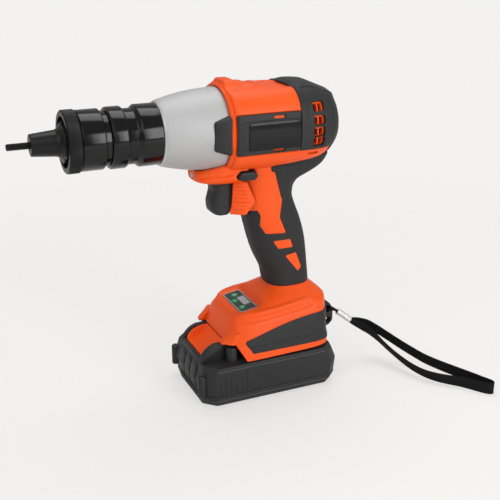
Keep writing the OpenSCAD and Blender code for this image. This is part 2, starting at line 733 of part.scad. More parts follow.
module nose_adapter() {
    color([0.06, 0.06, 0.06]) lathe([
        [adapter_bore_r, adapter_spigot_front_x], [adapter_spigot_r, adapter_spigot_front_x],
        [adapter_spigot_r, neck_front_x], [neck_r, neck_front_x], [neck_r, collar_front_x - edge_bevel * 2],
        [collar_r, collar_front_x + edge_bevel * 2], [collar_r, case_front_x - fit_gap],
        [adapter_rear_r, case_front_x - fit_gap], [adapter_rear_r, case_front_x + adapter_rear_l],
        [adapter_bore_r, case_front_x + adapter_rear_l]]);
}

module mandrel_chuck() {
    color([0.35, 0.35, 0.36]) lathe([
        [mandrel_d / 2 + run_gap, chuck_front_x], [chuck_r, chuck_front_x], [chuck_r, chuck_rear_x],
        [shaft_stub_r + run_gap, chuck_rear_x], [shaft_stub_r + run_gap, shaft_stub_x],
        [mandrel_head_r + run_gap, shaft_stub_x], [mandrel_head_r + run_gap, mandrel_head_x - run_gap],
        [mandrel_d / 2 + run_gap, mandrel_head_x - run_gap]]);
}

module pull_shaft() {
    stub_x = shaft_stub_x + run_gap;
    color([0.6, 0.6, 0.62]) lathe([
        [0, stub_x], [shaft_stub_r, stub_x], [shaft_stub_r, chuck_rear_x + fit_gap],
        [shaft_r, chuck_rear_x + fit_gap], [shaft_r, shaft_rear_x], [0, shaft_rear_x]]);
}

// Gear case and drive train

module gear_housing() {
    seat_x = thrust_x0 + thrust_l + fit_gap;
    color([0.72, 0.72, 0.73]) lathe(concat(
        [[adapter_rear_r + fit_gap, case_front_x]],
        [for (k = [0 : case_steps])
            [case_r(k / case_steps), mix(case_front_x, case_rear_x - fit_gap, k / case_steps)]],
        [[spigot_r, case_rear_x - fit_gap], [spigot_r, case_rear_x + spigot_l],
         [ring_gear_r + fit_gap, case_rear_x + spigot_l], [ring_gear_r + fit_gap, ring_front_x - fit_gap],
         [thrust_r + fit_gap * 2, ring_front_x - fit_gap], [thrust_r + fit_gap, seat_x],
         [thrust_r + fit_gap, thrust_x0 - fit_gap], [adapter_rear_r + fit_gap, thrust_x0 - fit_gap]]));
}

// A ball bearing: two races and a ring of loose balls between them.
module ball_bearing(x0, l, r0, r1, race, count) {
    ball_r = (r1 - r0) / 2 - race - run_gap;
    tube(x0, x0 + l, r0, r0 + race);
    tube(x0, x0 + l, r1 - race, r1);
    for (k = [0 : count - 1])
        translate([x0 + l / 2, 0, axis_h]) rotate([360 * k / count, 0, 0])
            translate([0, 0, (r0 + r1) / 2]) sphere(ball_r, $fn = small_fn);
}
module thrust_bearing() {
    color([0.75, 0.75, 0.77])
        ball_bearing(thrust_x0, thrust_l, carrier_hub_r + run_gap, thrust_r, thrust_race, thrust_ball_count);
}
module front_bearing() {
    color([0.75, 0.75, 0.77])
        ball_bearing(front_bearing_x, bearing_l, rotor_shaft_r + run_gap, bearing_r, bearing_race,
            bearing_ball_count);
}
module rear_bearing() {
    color([0.75, 0.75, 0.77])
        ball_bearing(rear_bearing_x, bearing_l, rotor_shaft_r + run_gap, bearing_r, bearing_race,
            bearing_ball_count);
}

// A toothed outline: straight-sided teeth that point out for a wheel, or in for a ring.
function tooth_points(teeth, root_r, tip_r) = let (pitch = 360 / teeth)
    [for (k = [0 : teeth - 1]) each [
        for (p = [[root_r, -tooth_width_share], [tip_r, -tooth_tip_share], [tip_r, tooth_tip_share],
            [root_r, tooth_width_share]])
            [p[0] * cos((k + p[1]) * pitch), p[0] * sin((k + p[1]) * pitch)]]];
module wheel(teeth, x0, l, phase) {
    pitch_r = tooth_module * teeth / 2;
    translate([x0, 0, axis_h]) rotate([0, 90, 0]) rotate([0, 0, phase]) linear_extrude(l)
        polygon(tooth_points(teeth, pitch_r - tooth_module * dedendum_share,
            pitch_r + tooth_module * addendum_share));
}
module planet_gear(index) {
    turn = 360 * index / planet_count;
    out = [0, orbit_r * sin(turn), -orbit_r * cos(turn)];
    color([0.65, 0.65, 0.66]) translate(out) difference() {
        wheel(planet_teeth, gear_front_x, gear_l, turn + 180 / planet_teeth);
        rod(gear_front_x - over, gear_front_x + gear_l + over, planet_pin_r + run_gap);
    }
}
module planet_gear_1() { planet_gear(0); }
module planet_gear_2() { planet_gear(1); }
module planet_gear_3() { planet_gear(2); }

module planet_carrier() {
    color([0.55, 0.55, 0.57]) {
        lathe([
            [shaft_r + run_gap, carrier_hub_x], [carrier_hub_r, carrier_hub_x],
            [carrier_hub_r, carrier_plate_x],
            [carrier_plate_r, carrier_plate_x], [carrier_plate_r, carrier_plate_x + carrier_plate_l],
            [shaft_r + run_gap, carrier_plate_x + carrier_plate_l]]);
        for (k = [0 : planet_count - 1])
            translate([0, orbit_r * sin(360 * k / planet_count), -orbit_r * cos(360 * k / planet_count)])
                rod(carrier_plate_x + carrier_plate_l - over, gear_front_x + gear_l + planet_pin_end,
                    planet_pin_r);
    }
}

module ring_gear() {
    pitch_r = tooth_module * ring_teeth / 2;
    color([0.5, 0.5, 0.52]) translate([ring_front_x, 0, axis_h]) rotate([0, 90, 0])
        linear_extrude(ring_gear_l) difference() {
            circle(ring_gear_r, $fn = turn_fn);
            polygon(tooth_points(ring_teeth, pitch_r + tooth_module * dedendum_share,
                pitch_r - tooth_module * addendum_share));
        }
}

module sun_gear() {
    color([0.6, 0.6, 0.62]) difference() {
        wheel(sun_teeth, gear_front_x, gear_l + sun_extra_l, 0);
        rod(gear_front_x - over, gear_front_x + gear_l + sun_extra_l + over, rotor_shaft_r + run_gap / 2);
    }
}

module motor_plate() {
    seat_x = front_bearing_x - fit_gap;
    color([0.7, 0.7, 0.71]) lathe([
        [shaft_hole_r, plate_front_x], [ring_gear_r, plate_front_x], [ring_gear_r, plate_front_x + plate_l],
        [bearing_r + fit_gap / 2, plate_front_x + plate_l], [bearing_r + fit_gap / 2, seat_x],
        [shaft_hole_r, seat_x]]);
}

module rotor() {
    color([0.45, 0.45, 0.47]) lathe([
        [0, rotor_front_x], [rotor_shaft_r, rotor_front_x], [rotor_shaft_r, stator_front_x],
        [rotor_core_r, stator_front_x], [rotor_core_r, stator_rear_x], [rotor_shaft_r, stator_rear_x],
        [rotor_shaft_r, rotor_rear_x], [0, rotor_rear_x]]);
}

module stator_teeth(width, r0, r1, x0, x1) {
    for (k = [0 : stator_tooth_count - 1])
        translate([0, 0, axis_h]) rotate([360 * (k + 0.5) / stator_tooth_count, 0, 0])
            block([x0, -width / 2, r0], [x1, width / 2, r1]);
}
module stator() {
    color([0.4, 0.4, 0.42]) {
        tube(stator_front_x, stator_rear_x, stator_d / 2 - stator_yoke, stator_d / 2);
        stator_teeth(stator_tooth_w, rotor_core_r + air_gap, stator_d / 2 - stator_yoke + over / 2,
            stator_front_x, stator_rear_x);
    }
}
module stator_coils() {
    r0 = rotor_core_r + air_gap + coil_inner_gap;
    r1 = stator_d / 2 - stator_yoke - coil_outer_gap;
    width = stator_tooth_w + 2 * coil_w;
    color([0.7, 0.38, 0.2]) difference() {
        stator_teeth(width, r0, r1, stator_front_x - coil_w, stator_rear_x + coil_w - coil_wall);
        stator_teeth(stator_tooth_w + 2 * coil_wall, r0 - over, r1 + over,
            stator_front_x - coil_wall, stator_rear_x + coil_wall);
        for (k = [0 : stator_tooth_count - 1])
            translate([0, 0, axis_h]) rotate([360 * k / stator_tooth_count, 0, 0])
                block([stator_front_x - coil_w - over, -coil_wall, 0],
                    [stator_rear_x + coil_w + over, coil_wall, stator_d / 2]);
    }
}

module hall_board() {
    color([0.1, 0.35, 0.18]) tube(hall_board_x, hall_board_x + hall_board_t, rotor_shaft_r + hall_hole_gap,
        stator_d / 2 - fit_gap);
}

module cooling_fan() {
    color([0.15, 0.15, 0.16]) {
        tube(fan_x0, fan_x0 + fan_l, rotor_shaft_r + run_gap / 2, fan_hub_r);
        tube(fan_x0, fan_x0 + fan_disc_t, fan_hub_r - over / 2, fan_r);
        for (k = [0 : fan_blade_count - 1])
            translate([0, 0, axis_h]) rotate([360 * k / fan_blade_count, 0, 0])
                block([fan_x0 + fan_disc_t / 2, -fan_blade_t / 2, fan_hub_r - over / 2],
                    [fan_x0 + fan_l, fan_blade_t / 2, fan_r]);
    }
}

// Housing

module crest() {
    hull() {
        side_plate(crest_points, -crest_half_w, crest_half_w);
        translate([0, 0, -crest_base_drop]) side_plate(crest_points, -crest_base_half_w, crest_base_half_w);
    }
}
module waves() {
    for (k = [0 : wave_count - 1]) hull() for (side = [-1, 1])
        translate([wave_x0 + wave_pitch * k, side * wave_half_w, axis_h + barrel_up + wave_rise - wave_r
            - (1 - cos(45)) * wave_r / 2])
            rotate([90, 0, 0]) cylinder(wave_r, wave_r, wave_r * 0.8, center = true, $fn = shell_fn);
}
module shield() {
    points = [for (p = shield_shares) [grip_d * p[0], grip_rim_h + field_h * p[1]]];
    side_plate(points, -grip_w * 0.5, grip_w * 0.5);
    x0 = points[0][0] + grip_d * 0.1;
    x1 = points[2][0] - grip_d * 0.06;
    for (k = [1 : shield_rib_count]) let (z = mix(points[4][1], points[0][1], k / (shield_rib_count + 1)))
        for (side = [-1, 1]) translate([x0, side * grip_w * 0.5, z]) rotate([0, 90, 0])
            cylinder(x1 - x0, shield_rib_r, shield_rib_r, $fn = bead_fn);
}

module barrel_outside() {
    difference() {
        union() {
            intersection() {
                barrel_form(0);
                union() {
                    block([-barrel_l, -barrel_w, 0], [cap_front_x, barrel_w, axis_h * 2]);
                    block([-barrel_l, -barrel_w, 0], [strip_end_x, barrel_w, strip_top]);
                }
            }
            barrel_form(under_cap);
            crest();
            waves();
        }
        for (left = [true, false]) mirrored(left) panel_recess();
    }
}
module panel_recess() {
    panel_prism(panel_x0 - fit_gap, panel_x1 + fit_gap, panel_z0 - fit_gap, panel_z1 + fit_gap,
        -over * 2, panel_t);
}
// A strip of the barrel's left side between two heights, from an outer to an inner depth.
module panel_prism(x0, x1, z0, z1, outer, inner) {
    zs = [for (k = [0 : panel_steps]) mix(z0, z1, k / panel_steps)];
    points = concat([for (z = zs) [-z, -barrel_y(z, outer)]],
        [for (k = [panel_steps : -1 : 0]) [-zs[k], -barrel_y(zs[k], inner)]]);
    translate([x0, 0, axis_h]) rotate([0, 90, 0]) linear_extrude(x1 - x0) polygon(points);
}

module housing_outside() {
    barrel_outside();
    difference() {
        chin_form();
        gear_case_space();
    }
    difference() {
        handle_form(0);
        difference() {
            handle_form(-over);
            handle_form(rubber_t + fit_gap);
            fields_across(0);
            barrel_form(0);
            foot_form(0);
            block([-barrel_l, -barrel_w, 0], [barrel_l, barrel_w, grip_rim_h - fit_gap]);
        }
        gear_case_space();
    }
    shield();
    difference() {
        foot_form(0);
        side_plate(notch_points, -battery_w, battery_w);
    }
    for (side = [-1, 1]) side_plate([for (p = gusset_shares)
        [battery_l * p[0], mix(hump_top + notch_clear, shoulder_h, p[1])]],
        side * gusset_y - gusset_t / 2, side * gusset_y + gusset_t / 2);
    lug_web();
}
module gear_case_space() {
    steps = case_steps / 2;
    lathe(concat([[0, case_front_x]], [for (k = [0 : steps])
        [case_r(k / steps) + fit_gap * 2, mix(case_front_x, case_rear_x, k / steps)]], [[0, case_rear_x]]),
        turn_fn / 2);
}
module lug_web() {
    lug_plate(lug_web_y0, lug_web_y1, 0);
}

module housing_inside() {
    // Gear case seat, motor room and its ribs.
    rod(case_rear_x - over, cavity_front_x + over, spigot_r + fit_gap, turn_fn / 2);
    rod(stator_front_x - fit_gap, hall_board_x + hall_board_t + fit_gap, stator_d / 2 + fit_gap, turn_fn / 2);
    difference() {
        intersection() {
            barrel_form(under_cap + shell_wall * 0.8, room_sides);
            block([cavity_front_x, -barrel_w, 0], [cavity_rear_x, barrel_w, axis_h * 2]);
        }
        for (s = stator_rib_shares)
            tube(mix(stator_front_x, stator_rear_x, s), mix(stator_front_x, stator_rear_x, s) + rib_t,
                stator_d / 2 + fit_gap, barrel_w, turn_fn / 2);
        tube(rear_bearing_x - seat_rib_lip, rear_bearing_x + bearing_l + seat_rib_lip,
            bearing_r + fit_gap, barrel_w, small_fn);
    }
    // Handle and foot rooms, with the rails' way left open at the front.
    difference() {
        union() {
            intersection() {
                handle_form(rubber_t + shell_wall, room_sides);
                block([-barrel_l, -barrel_w, shoulder_h], [barrel_l, barrel_w, axis_h - barrel_down * 0.9]);
            }
            intersection() {
                foot_form(shell_wall, room_sides);
                block([-battery_l, -battery_w, foot_rim + foot_floor], [battery_l, battery_w,
                    mix(foot_rim, shoulder_h, foot_roof_share)]);
            }
        }
        for (at = screw_at) cross_bar(at, -battery_w, battery_w, boss_r, shell_fn);
        lug_seat();
    }
    block([-battery_l, -rail_half_w - rail_gap, 0],
        [tower_x1 + rail_end_gap, rail_half_w + rail_gap, flange_z0]);
    block([-battery_l, -flange_half_w - rail_gap, foot_rim + foot_floor],
        [tower_x1 + rail_end_gap, flange_half_w + rail_gap, tower_top + rail_gap]);
    trigger_room();
    selector_room(move_gap);
    lug_plate(-lug_half_t - fit_gap, lug_half_t + fit_gap, fit_gap);
    deck_space();
    work_light_body(fit_gap);
    for (at = screw_at) screw_hole(at);
}
// Material that holds the strap lug's root.
module lug_seat() {
    block([lug_x0 - shell_wall, -lug_half_t * 3, 0], [battery_l, lug_half_t * 3, lug_z1 + shell_wall]);
}
module screw_hole(at) {
    cross_bar(at, screw_tip_y - over, screw_seat_y + over, screw_r + fit_gap, shell_fn);
    cross_bar(at, screw_seat_y, battery_w, screw_head_r + fit_gap * 2, shell_fn);
}
module trigger_room() {
    half_w = trigger_w / 2 + move_gap;
    block([-barrel_l, -half_w, trigger_bottom - move_gap],
        [trigger_rear_x + trigger_travel + move_gap, half_w, trigger_top + move_gap]);
    block([trigger_front_x, -half_w, trigger_top - trigger_h * 0.75],
        [switch_x0 + switch_l + switch_gap, half_w, trigger_top + move_gap]);
}
module vents(left) {
    mirrored(left) for (s = vent_z_shares) let (z = axis_h + s * barrel_up)
        for (k = [-1, 1])
            block([vent_x + k * vent_slot_pitch / 2 - vent_slot_l / 2, -barrel_w, z - vent_h * 0.36],
                [vent_x + k * vent_slot_pitch / 2 + vent_slot_l / 2, -fan_r, z + vent_h * 0.36]);
}
module housing(left) {
    y0 = left ? -battery_w : split_gap;
    color([0.95, 0.36, 0.13]) intersection() {
        difference() {
            housing_outside();
            housing_inside();
            vents(left);
            mirrored(left) bumper_band(fit_gap);
            rear_cap_screw_holes();
        }
        block([-barrel_l * 2, y0, 0], [barrel_l * 2, y0 + battery_w - split_gap, axis_h * 2]);
    }
}
module housing_left() { housing(true); }
module housing_right() { housing(false); }

module rear_cap_screw_holes() {
    for (side = [-1, 1]) translate([0, side * cap_screw_y, -cap_screw_drop])
        rod(barrel_rear - cap_screw_l - over, barrel_rear + over, screw_r + fit_gap, shell_fn);
}
module cap_screws() {
    color([0.25, 0.25, 0.26]) for (side = [-1, 1]) translate([0, side * cap_screw_y, -cap_screw_drop]) {
        rod(barrel_rear - cap_screw_l, cap_seat_x + over / 2, screw_r);
        rod(cap_seat_x, cap_seat_x + screw_head_l, screw_head_r);
    }
}

module rear_cap() {
    color([0.22, 0.22, 0.23]) difference() {
        barrel_form(-cap_proud);
        barrel_form(cap_t - cap_proud);
        block([-barrel_l, -barrel_w, 0], [cap_front_x + fit_gap, barrel_w, axis_h * 2]);
        block([-barrel_l, -barrel_w, 0], [strip_end_x + fit_gap, barrel_w, strip_top + fit_gap]);
        block([-barrel_l, -barrel_w, 0], [barrel_l, barrel_w, axis_h - barrel_down * 0.8]);
        handle_form(-fit_gap);
        for (left = [true, false], s = vent_z_shares) mirrored(left) vent_window(axis_h + s * barrel_up);
        for (side = [-1, 1]) translate([0, side * cap_screw_y, -cap_screw_drop]) {
            rod(0, barrel_l, screw_r + fit_gap, shell_fn);
            rod(cap_seat_x - fit_gap, barrel_l, screw_head_r + fit_gap, shell_fn);
        }
    }
}
module vent_window(z) {
    hull() for (i = [-1, 1], j = [-1, 1])
        cross_bar([vent_x + i * (vent_l / 2 - vent_corner_r), z + j * (vent_h / 2 - vent_corner_r)],
            -barrel_w, -fan_r, vent_corner_r, bead_fn);
}

module side_panel(left) {
    color([0.2, 0.2, 0.21]) mirrored(left) difference() {
        panel_prism(panel_x0, panel_x1, panel_z0, panel_z1, -panel_proud, panel_t - fit_gap);
        for (s = slot_shares) let (z = axis_h + s * panel_z1)
            block([slot_x - slot_l / 2, -barrel_w, z - slot_h / 2], [slot_x + slot_l / 2, 0, z + slot_h / 2]);
        if (left) panel_prism(plate_x0 - fit_gap, panel_x1 + over, plate_z0 - fit_gap, plate_z1 + fit_gap,
            -over * 2, panel_t / 2);
    }
}
module side_panel_left() { side_panel(true); }
module side_panel_right() { side_panel(false); }
module label_plate() {
    color([0.03, 0.03, 0.03])
        panel_prism(plate_x0, panel_x1, plate_z0, plate_z1, -plate_proud, panel_t / 2 - fit_gap);
}

module wedge_pad(left) {
    x1 = case_rear_x - fit_gap;
    x0 = x1 - pad_l;
    y1 = case_rear_d / 2 + pad_rise;
    side = [[x0, axis_h - pad_front_half_h], [x1, axis_h - pad_rear_half_h], [x1, axis_h + pad_rear_half_h],
        [x0, axis_h + pad_front_half_h]];
    plan = [[x0, -y1 + pad_front_sink], [x1, -y1], [x1, -y1 + pad_depth], [x0, -y1 + pad_depth]];
    color([0.2, 0.2, 0.21]) mirrored(left) difference() {
        intersection() {
            side_plate(side, -barrel_w, 0);
            linear_extrude(axis_h * 2) polygon(plan);
        }
        gear_case_space();
    }
}
module wedge_pad_left() { wedge_pad(true); }
module wedge_pad_right() { wedge_pad(false); }

// Handle

module grip(left) {
    y0 = left ? -battery_w : split_gap;
    color([0.18, 0.18, 0.19]) difference() {
        intersection() {
            handle_form(0);
            block([-barrel_l, y0, grip_rim_h], [barrel_l, y0 + battery_w - split_gap, axis_h]);
        }
        handle_form(rubber_t);
        fields_across(fit_gap);
        barrel_form(-fit_gap);
        foot_form(-fit_gap);
        shield_space();
    }
}
module shield_space() {
    points = [for (p = shield_shares) [grip_d * p[0], grip_rim_h + field_h * p[1]]];
    rotate([90, 0, 0]) linear_extrude(grip_w + 2 * fit_gap, center = true) offset(fit_gap) polygon(points);
    trigger_room();
}
module grip_left() { grip(true); }
module grip_right() { grip(false); }

module trigger() {
    x0 = trigger_front_x;
    x1 = trigger_rear_x;
    z0 = trigger_bottom;
    z1 = trigger_top;
    round_x = x0 + trigger_round;
    side = concat(
        [[x1, z1], [x0 + trigger_h * 0.06, z1], [x0 + trigger_h * 0.1, z1 - trigger_h * 0.3],
         [x0, z1 - trigger_h * 0.62]],
        [for (t = [180 : 15 : 270]) [round_x + trigger_round * cos(t), z0 + trigger_round * (1 + sin(t))]],
        [[x0 + trigger_body_l * 0.75, z0], [x1, z0 + trigger_h * 0.2]]);
    front_r = trigger_w * 0.9;
    color([0.15, 0.15, 0.16]) {
        intersection() {
            side_plate(side, -trigger_w / 2, trigger_w / 2);
            union() {
                translate([x0 + front_r - fit_gap, 0, z0 - over])
                    cylinder(trigger_h + 2 * over, front_r, front_r, $fn = turn_fn);
                block([x0 + trigger_w * 0.5, -trigger_w, z0 - over], [x1 + over, trigger_w, z1 + over]);
            }
        }
        block([x1 - over / 2, -trigger_stem_half_w, z1 - trigger_h * 0.66],
            [switch_x0 - trigger_travel - move_gap, trigger_stem_half_w, z1 - trigger_h * 0.1]);
    }
}
module trigger_spring() {
    spring_l = trigger_travel + trigger_stem_l - fit_gap * 2;
    color([0.7, 0.7, 0.72]) translate([switch_x0 - fit_gap - spring_l,
        trigger_stem_half_w + trigger_spring_r + fit_gap, trigger_top - trigger_h * 0.4]) rotate([0, 90, 0])
        difference() {
            cylinder(spring_l, trigger_spring_r, trigger_spring_r, $fn = small_fn);
            translate([0, 0, -over]) cylinder(spring_l + 2 * over, trigger_spring_r - trigger_spring_t,
                trigger_spring_r - trigger_spring_t, $fn = small_fn);
        }
}
module trigger_switch() {
    z1 = trigger_top - fit_gap;
    color([0.12, 0.12, 0.13])
        block([switch_x0, -switch_w / 2, z1 - switch_h], [switch_x0 + switch_l, switch_w / 2, z1]);
}

// The selector is a bar right through the housing, with lozenge ends.
module selector_room(gap) {
    bevel = selector_h * 0.4;
    x0 = selector_x0;
    x1 = selector_x0 + selector_l;
    z0 = selector_z0 - gap;
    z1 = selector_z0 + selector_h + gap;
    mid_z = selector_z0 + selector_h * 0.55;
    half_w = gap > 0 ? barrel_w : selector_half_w;
    side_plate([[x0 - gap, mid_z], [x0 + bevel, z1], [x1 - bevel, z1], [x1 + gap, mid_z], [x1 - bevel, z0],
        [x0 + bevel, z0]], -half_w, half_w);
}
module direction_selector() {
    color([0.15, 0.15, 0.16]) selector_room(0);
}

module work_light_body(gap) {
    translate([lens_x - over * (gap > 0 ? 1 : 0), 0, lens_z]) rotate([0, 90, 0])
        cylinder(lens_l + gap + over * (gap > 0 ? 1 : 0), lens_r + gap, lens_r + gap, $fn = small_fn);
}
module work_light() {
    color([0.85, 0.88, 0.9]) work_light_body(0);
}

// Foot

// Half width of the foot at a height and an X, from the pair of sections around that height.
function foot_level(z) = (z - foot_rim) / (shoulder_h - foot_rim);
function foot_pair(t, i = 0) =
    (i + 2 >= len(foot_shares) || t <= foot_shares[i + 1][0]) ? i : foot_pair(t, i + 1);
function foot_share(t) = let (i = foot_pair(t), a = foot_shares[i], b = foot_shares[i + 1])
    mix(a, b, (t - a[0]) / (b[0] - a[0]));
function foot_y(x, z, inset) = let (s = foot_share(foot_level(z)), x0 = battery_l * s[1] + inset,
    x1 = battery_l * s[2] - inset, u = min(0.98, abs(2 * (x - x0) / (x1 - x0) - 1)))
    (foot_w / 2 * s[3] - inset) * pow(1 - pow(u, s[4]), 1 / s[4]);
function bumper_ring(x, t, gap) = let (
    z0 = bumper_z0 - gap, z1 = mix(bumper_top_front, bumper_top_rear, sin(90 * t)) + gap, zm = (z0 + z1) / 2,
    outer = gap > 0 ? -bumper_proud - over : -bumper_proud, inner = bumper_t - bumper_proud + gap)
    [[x, -foot_y(x, z0, outer), z0], [x, -foot_y(x, zm, outer), zm], [x, -foot_y(x, z1, outer), z1],
     [x, -foot_y(x, z1, inner), z1], [x, -foot_y(x, zm, inner), zm], [x, -foot_y(x, z0, inner), z0]];
module bumper_band(gap) {
    loft([for (k = [0 : bumper_count]) let (t = k / bumper_count)
        bumper_ring(mix(bumper_x0 - gap, bumper_x1 + gap, t), t, gap)]);
}
module foot_bumper_left() {
    color([0.2, 0.2, 0.21]) bumper_band(0);
}
module foot_bumper_right() {
    color([0.2, 0.2, 0.21]) mirror([0, 1, 0]) bumper_band(0);
}

// The panel's own frame: its face is the plane z = 0, tilted down to the front.
module on_deck() {
    translate([deck_x, 0, deck_z]) rotate([0, -panel_tilt, 0]) children();
}
module deck_space() {
    on_deck() {
        block([-deck_l / 2 - fit_gap, -deck_w / 2 - fit_gap, -deck_t - fit_gap],
            [deck_l / 2 + fit_gap, deck_w / 2 + fit_gap, deck_l]);
        block([-deck_l * 0.42, -deck_w * 0.42, -deck_t * 6], [deck_l * 0.42, deck_w * 0.42, 0]);
    }
}
module control_panel() {
    color([0.15, 0.16, 0.16]) on_deck() difference() {
        block([-deck_l / 2, -deck_w / 2, -deck_t], [deck_l / 2, deck_w / 2, 0]);
        for (p = button_at_shares) translate([deck_l * p[0], deck_w * p[1], -deck_t - over])
            cylinder(deck_t + 2 * over, button_r + move_gap / 2, button_r + move_gap / 2, $fn = small_fn);
        translate([deck_l * screen_at_shares[0], deck_w * screen_at_shares[1], -deck_t / 2])
            screen_block(fit_gap, deck_t);
    }
}
module screen_block(gap, h) {
    block([-screen_l / 2 - gap, -screen_w / 2 - gap, 0], [screen_l / 2 + gap, screen_w / 2 + gap, h]);
}
module display_window() {
    color([0.7, 0.75, 0.7]) on_deck()
        translate([deck_l * screen_at_shares[0], deck_w * screen_at_shares[1], fit_gap - deck_t / 2])
            screen_block(0, deck_t / 2 - fit_gap);
}
module panel_button(index) {
    p = button_at_shares[index];
    z0 = -deck_t - button_stem + button_travel;
    color([0.15, 0.55, 0.3]) on_deck() translate([deck_l * p[0], deck_w * p[1], z0])
        cylinder(button_rise - z0, button_r, button_r, $fn = small_fn);
}
module button_power() { panel_button(0); }
module button_less() { panel_button(1); }
module button_more() { panel_button(2); }

module control_board() {
    x1 = deck_l * 0.4;
    y1 = deck_w * 0.4;
    color([0.1, 0.35, 0.18]) on_deck() {
        block([-x1, -y1, -deck_drop - board_t], [x1, y1, -deck_drop]);
        block([x1 - board_leg_w, -y1, -deck_drop - over / 2], [x1, y1, -deck_t - fit_gap]);
        block([-x1, deck_w * 0.18, -deck_drop - over / 2], [board_leg_w - x1, y1, -deck_t - fit_gap]);
    }
}

module terminal_block() {
    z0 = hump_top + notch_clear + fit_gap;
    color([0.12, 0.12, 0.13])
        block([tower_x1 - terminal_l, -terminal_half_w, z0],
            [tower_x1, terminal_half_w, mix(foot_rim, shoulder_h, foot_roof_share) - fit_gap]);
}

module lug_plate(y0, y1, gap) {
    r = lug_corner_r;
    side_plate([
        [lug_x0 - gap, lug_z0 - gap], [lug_x1 - r, lug_z0 - gap], [lug_x1 + gap, lug_z0 + r],
        [lug_x1 + gap, lug_z1 - 2 * r],
        [lug_x1 - r, lug_z1 - r * 0.6], [lug_x1 - 2.4 * r, lug_z1 + gap], [lug_x0 - gap, lug_z1 + gap]],
        y0, y1);
}
module strap_lug() {
    color([0.2, 0.2, 0.21]) difference() {
        lug_plate(-lug_half_t, lug_half_t, 0);
        for (s = lug_hole_shares)
            cross_bar([lug_hole_x, mix(lug_z0, lug_z1, s)], -lug_half_t - over, lug_half_t + over,
                lug_hole_r);
    }
}

module housing_screws() {
    color([0.25, 0.25, 0.26]) for (at = screw_at) {
        cross_bar(at, screw_tip_y, screw_seat_y + over, screw_r);
        cross_bar(at, screw_seat_y + fit_gap, screw_seat_y + fit_gap + screw_head_l, screw_head_r);
    }
}

// Battery pack

module battery_lower_case() {
    color([0.2, 0.2, 0.21]) difference() {
        loft([for (k = [0 : lower_rings - 1]) pack_ring(pack_shares[k], 0)]);
        block([-cell_room_x, -cell_room_y, battery_wall], [cell_room_x, cell_room_y, battery_h]);
        for (p = battery_screw_places()) translate([p[0], p[1], -over])
            cylinder(battery_h, screw_r + fit_gap / 2, screw_r + fit_gap / 2, $fn = small_fn);
    }
}
function battery_screw_places() = [for (i = [-1, 1], j = [-1, 1])
    [i * (cell_room_x - screw_r), j * (cell_room_y + screw_r)]];

module battery_upper_case() {
    color([0.2, 0.2, 0.21]) difference() {
        union() {
            loft([for (k = [lower_rings : len(pack_shares) - 1]) pack_ring(pack_shares[k], 0)]);
            side_plate([for (p = hump_shares) [-battery_l * p[0], battery_h * p[1]]],
                -cheek_half_w, cheek_half_w);
            block([tower_x0, -rail_half_w, battery_h - over], [tower_x1, rail_half_w, tower_top]);
            block([tower_x0, -flange_half_w, flange_z0 + rail_gap], [tower_x1, flange_half_w, tower_top]);
            for (side = [-1, 1]) {
                translate([post_x, side * post_y, post_z0])
                    cylinder(post_z1 - post_z0, post_r, post_r, $fn = small_fn);
                translate([stop_x, side * stop_y, battery_h - over])
                    cylinder(stop_top - battery_h + over, stop_r, stop_r, $fn = small_fn);
            }
        }
        block([-cell_room_x, -cell_room_y, 0],
            [cell_room_x, cell_room_y, battery_board_z + battery_board_t + fit_gap]);
        side_plate([for (p = pocket_shares) [-battery_l * p[0], battery_h * p[1]]],
            -latch_half_w - move_gap, latch_half_w + move_gap);
    }
}

module battery_cells() {
    color([0.2, 0.45, 0.65]) for (k = [0 : cell_count - 1])
        cross_bar([cell_pitch * (k - (cell_count - 1) / 2), cell_z], -cell_l / 2, cell_l / 2, cell_d / 2);
}

module battery_board() {
    color([0.1, 0.35, 0.18]) block([-cell_room_x + fit_gap, -cell_room_y + fit_gap, battery_board_z],
        [cell_room_x - fit_gap, cell_room_y - fit_gap, battery_board_z + battery_board_t]);
}

module battery_latch() {
    color([0.95, 0.36, 0.13]) {
        side_plate([for (p = latch_shares) [-battery_l * p[0], battery_h * p[1]]],
            -latch_half_w, latch_half_w);
        for (y = [-latch_half_w, latch_half_w - latch_wall_t])
            side_plate([for (p = latch_wall_shares) [-battery_l * p[0], battery_h * p[1]]],
                y, y + latch_wall_t);
    }
}
module latch_spring() {
    z0 = battery_h * pocket_shares[0][1] + fit_gap;
    x = -battery_l * 0.38;
    h = battery_h * (latch_shares[0][1] - pocket_shares[0][1]) - fit_gap * 2;
    color([0.7, 0.7, 0.72]) translate([x, 0, z0]) difference() {
        cylinder(h, latch_spring_r, latch_spring_r, $fn = small_fn);
        translate([0, 0, -over]) cylinder(h + 2 * over, latch_spring_r - latch_spring_t,
            latch_spring_r - latch_spring_t, $fn = small_fn);
    }
}

// Wrist strap

module strap_cord() {
    color([0.08, 0.08, 0.08]) sweep(cord_points, cord_d / 2, cord_d / 2);
}
module strap_ferrule() {
    run = ferrule_to - ferrule_from;
    turn = atan2(run[1], run[0]);
    lean = acos(run[2] / norm(run));
    color([0.8, 0.8, 0.8]) translate(ferrule_from) rotate([0, lean, turn])
        cylinder(norm(run), ferrule_r, ferrule_r, $fn = small_fn);
}
module strap_webbing() {
    color([0.08, 0.08, 0.08]) sweep(webbing_points, webbing_t / 2, webbing_w / 2);
}

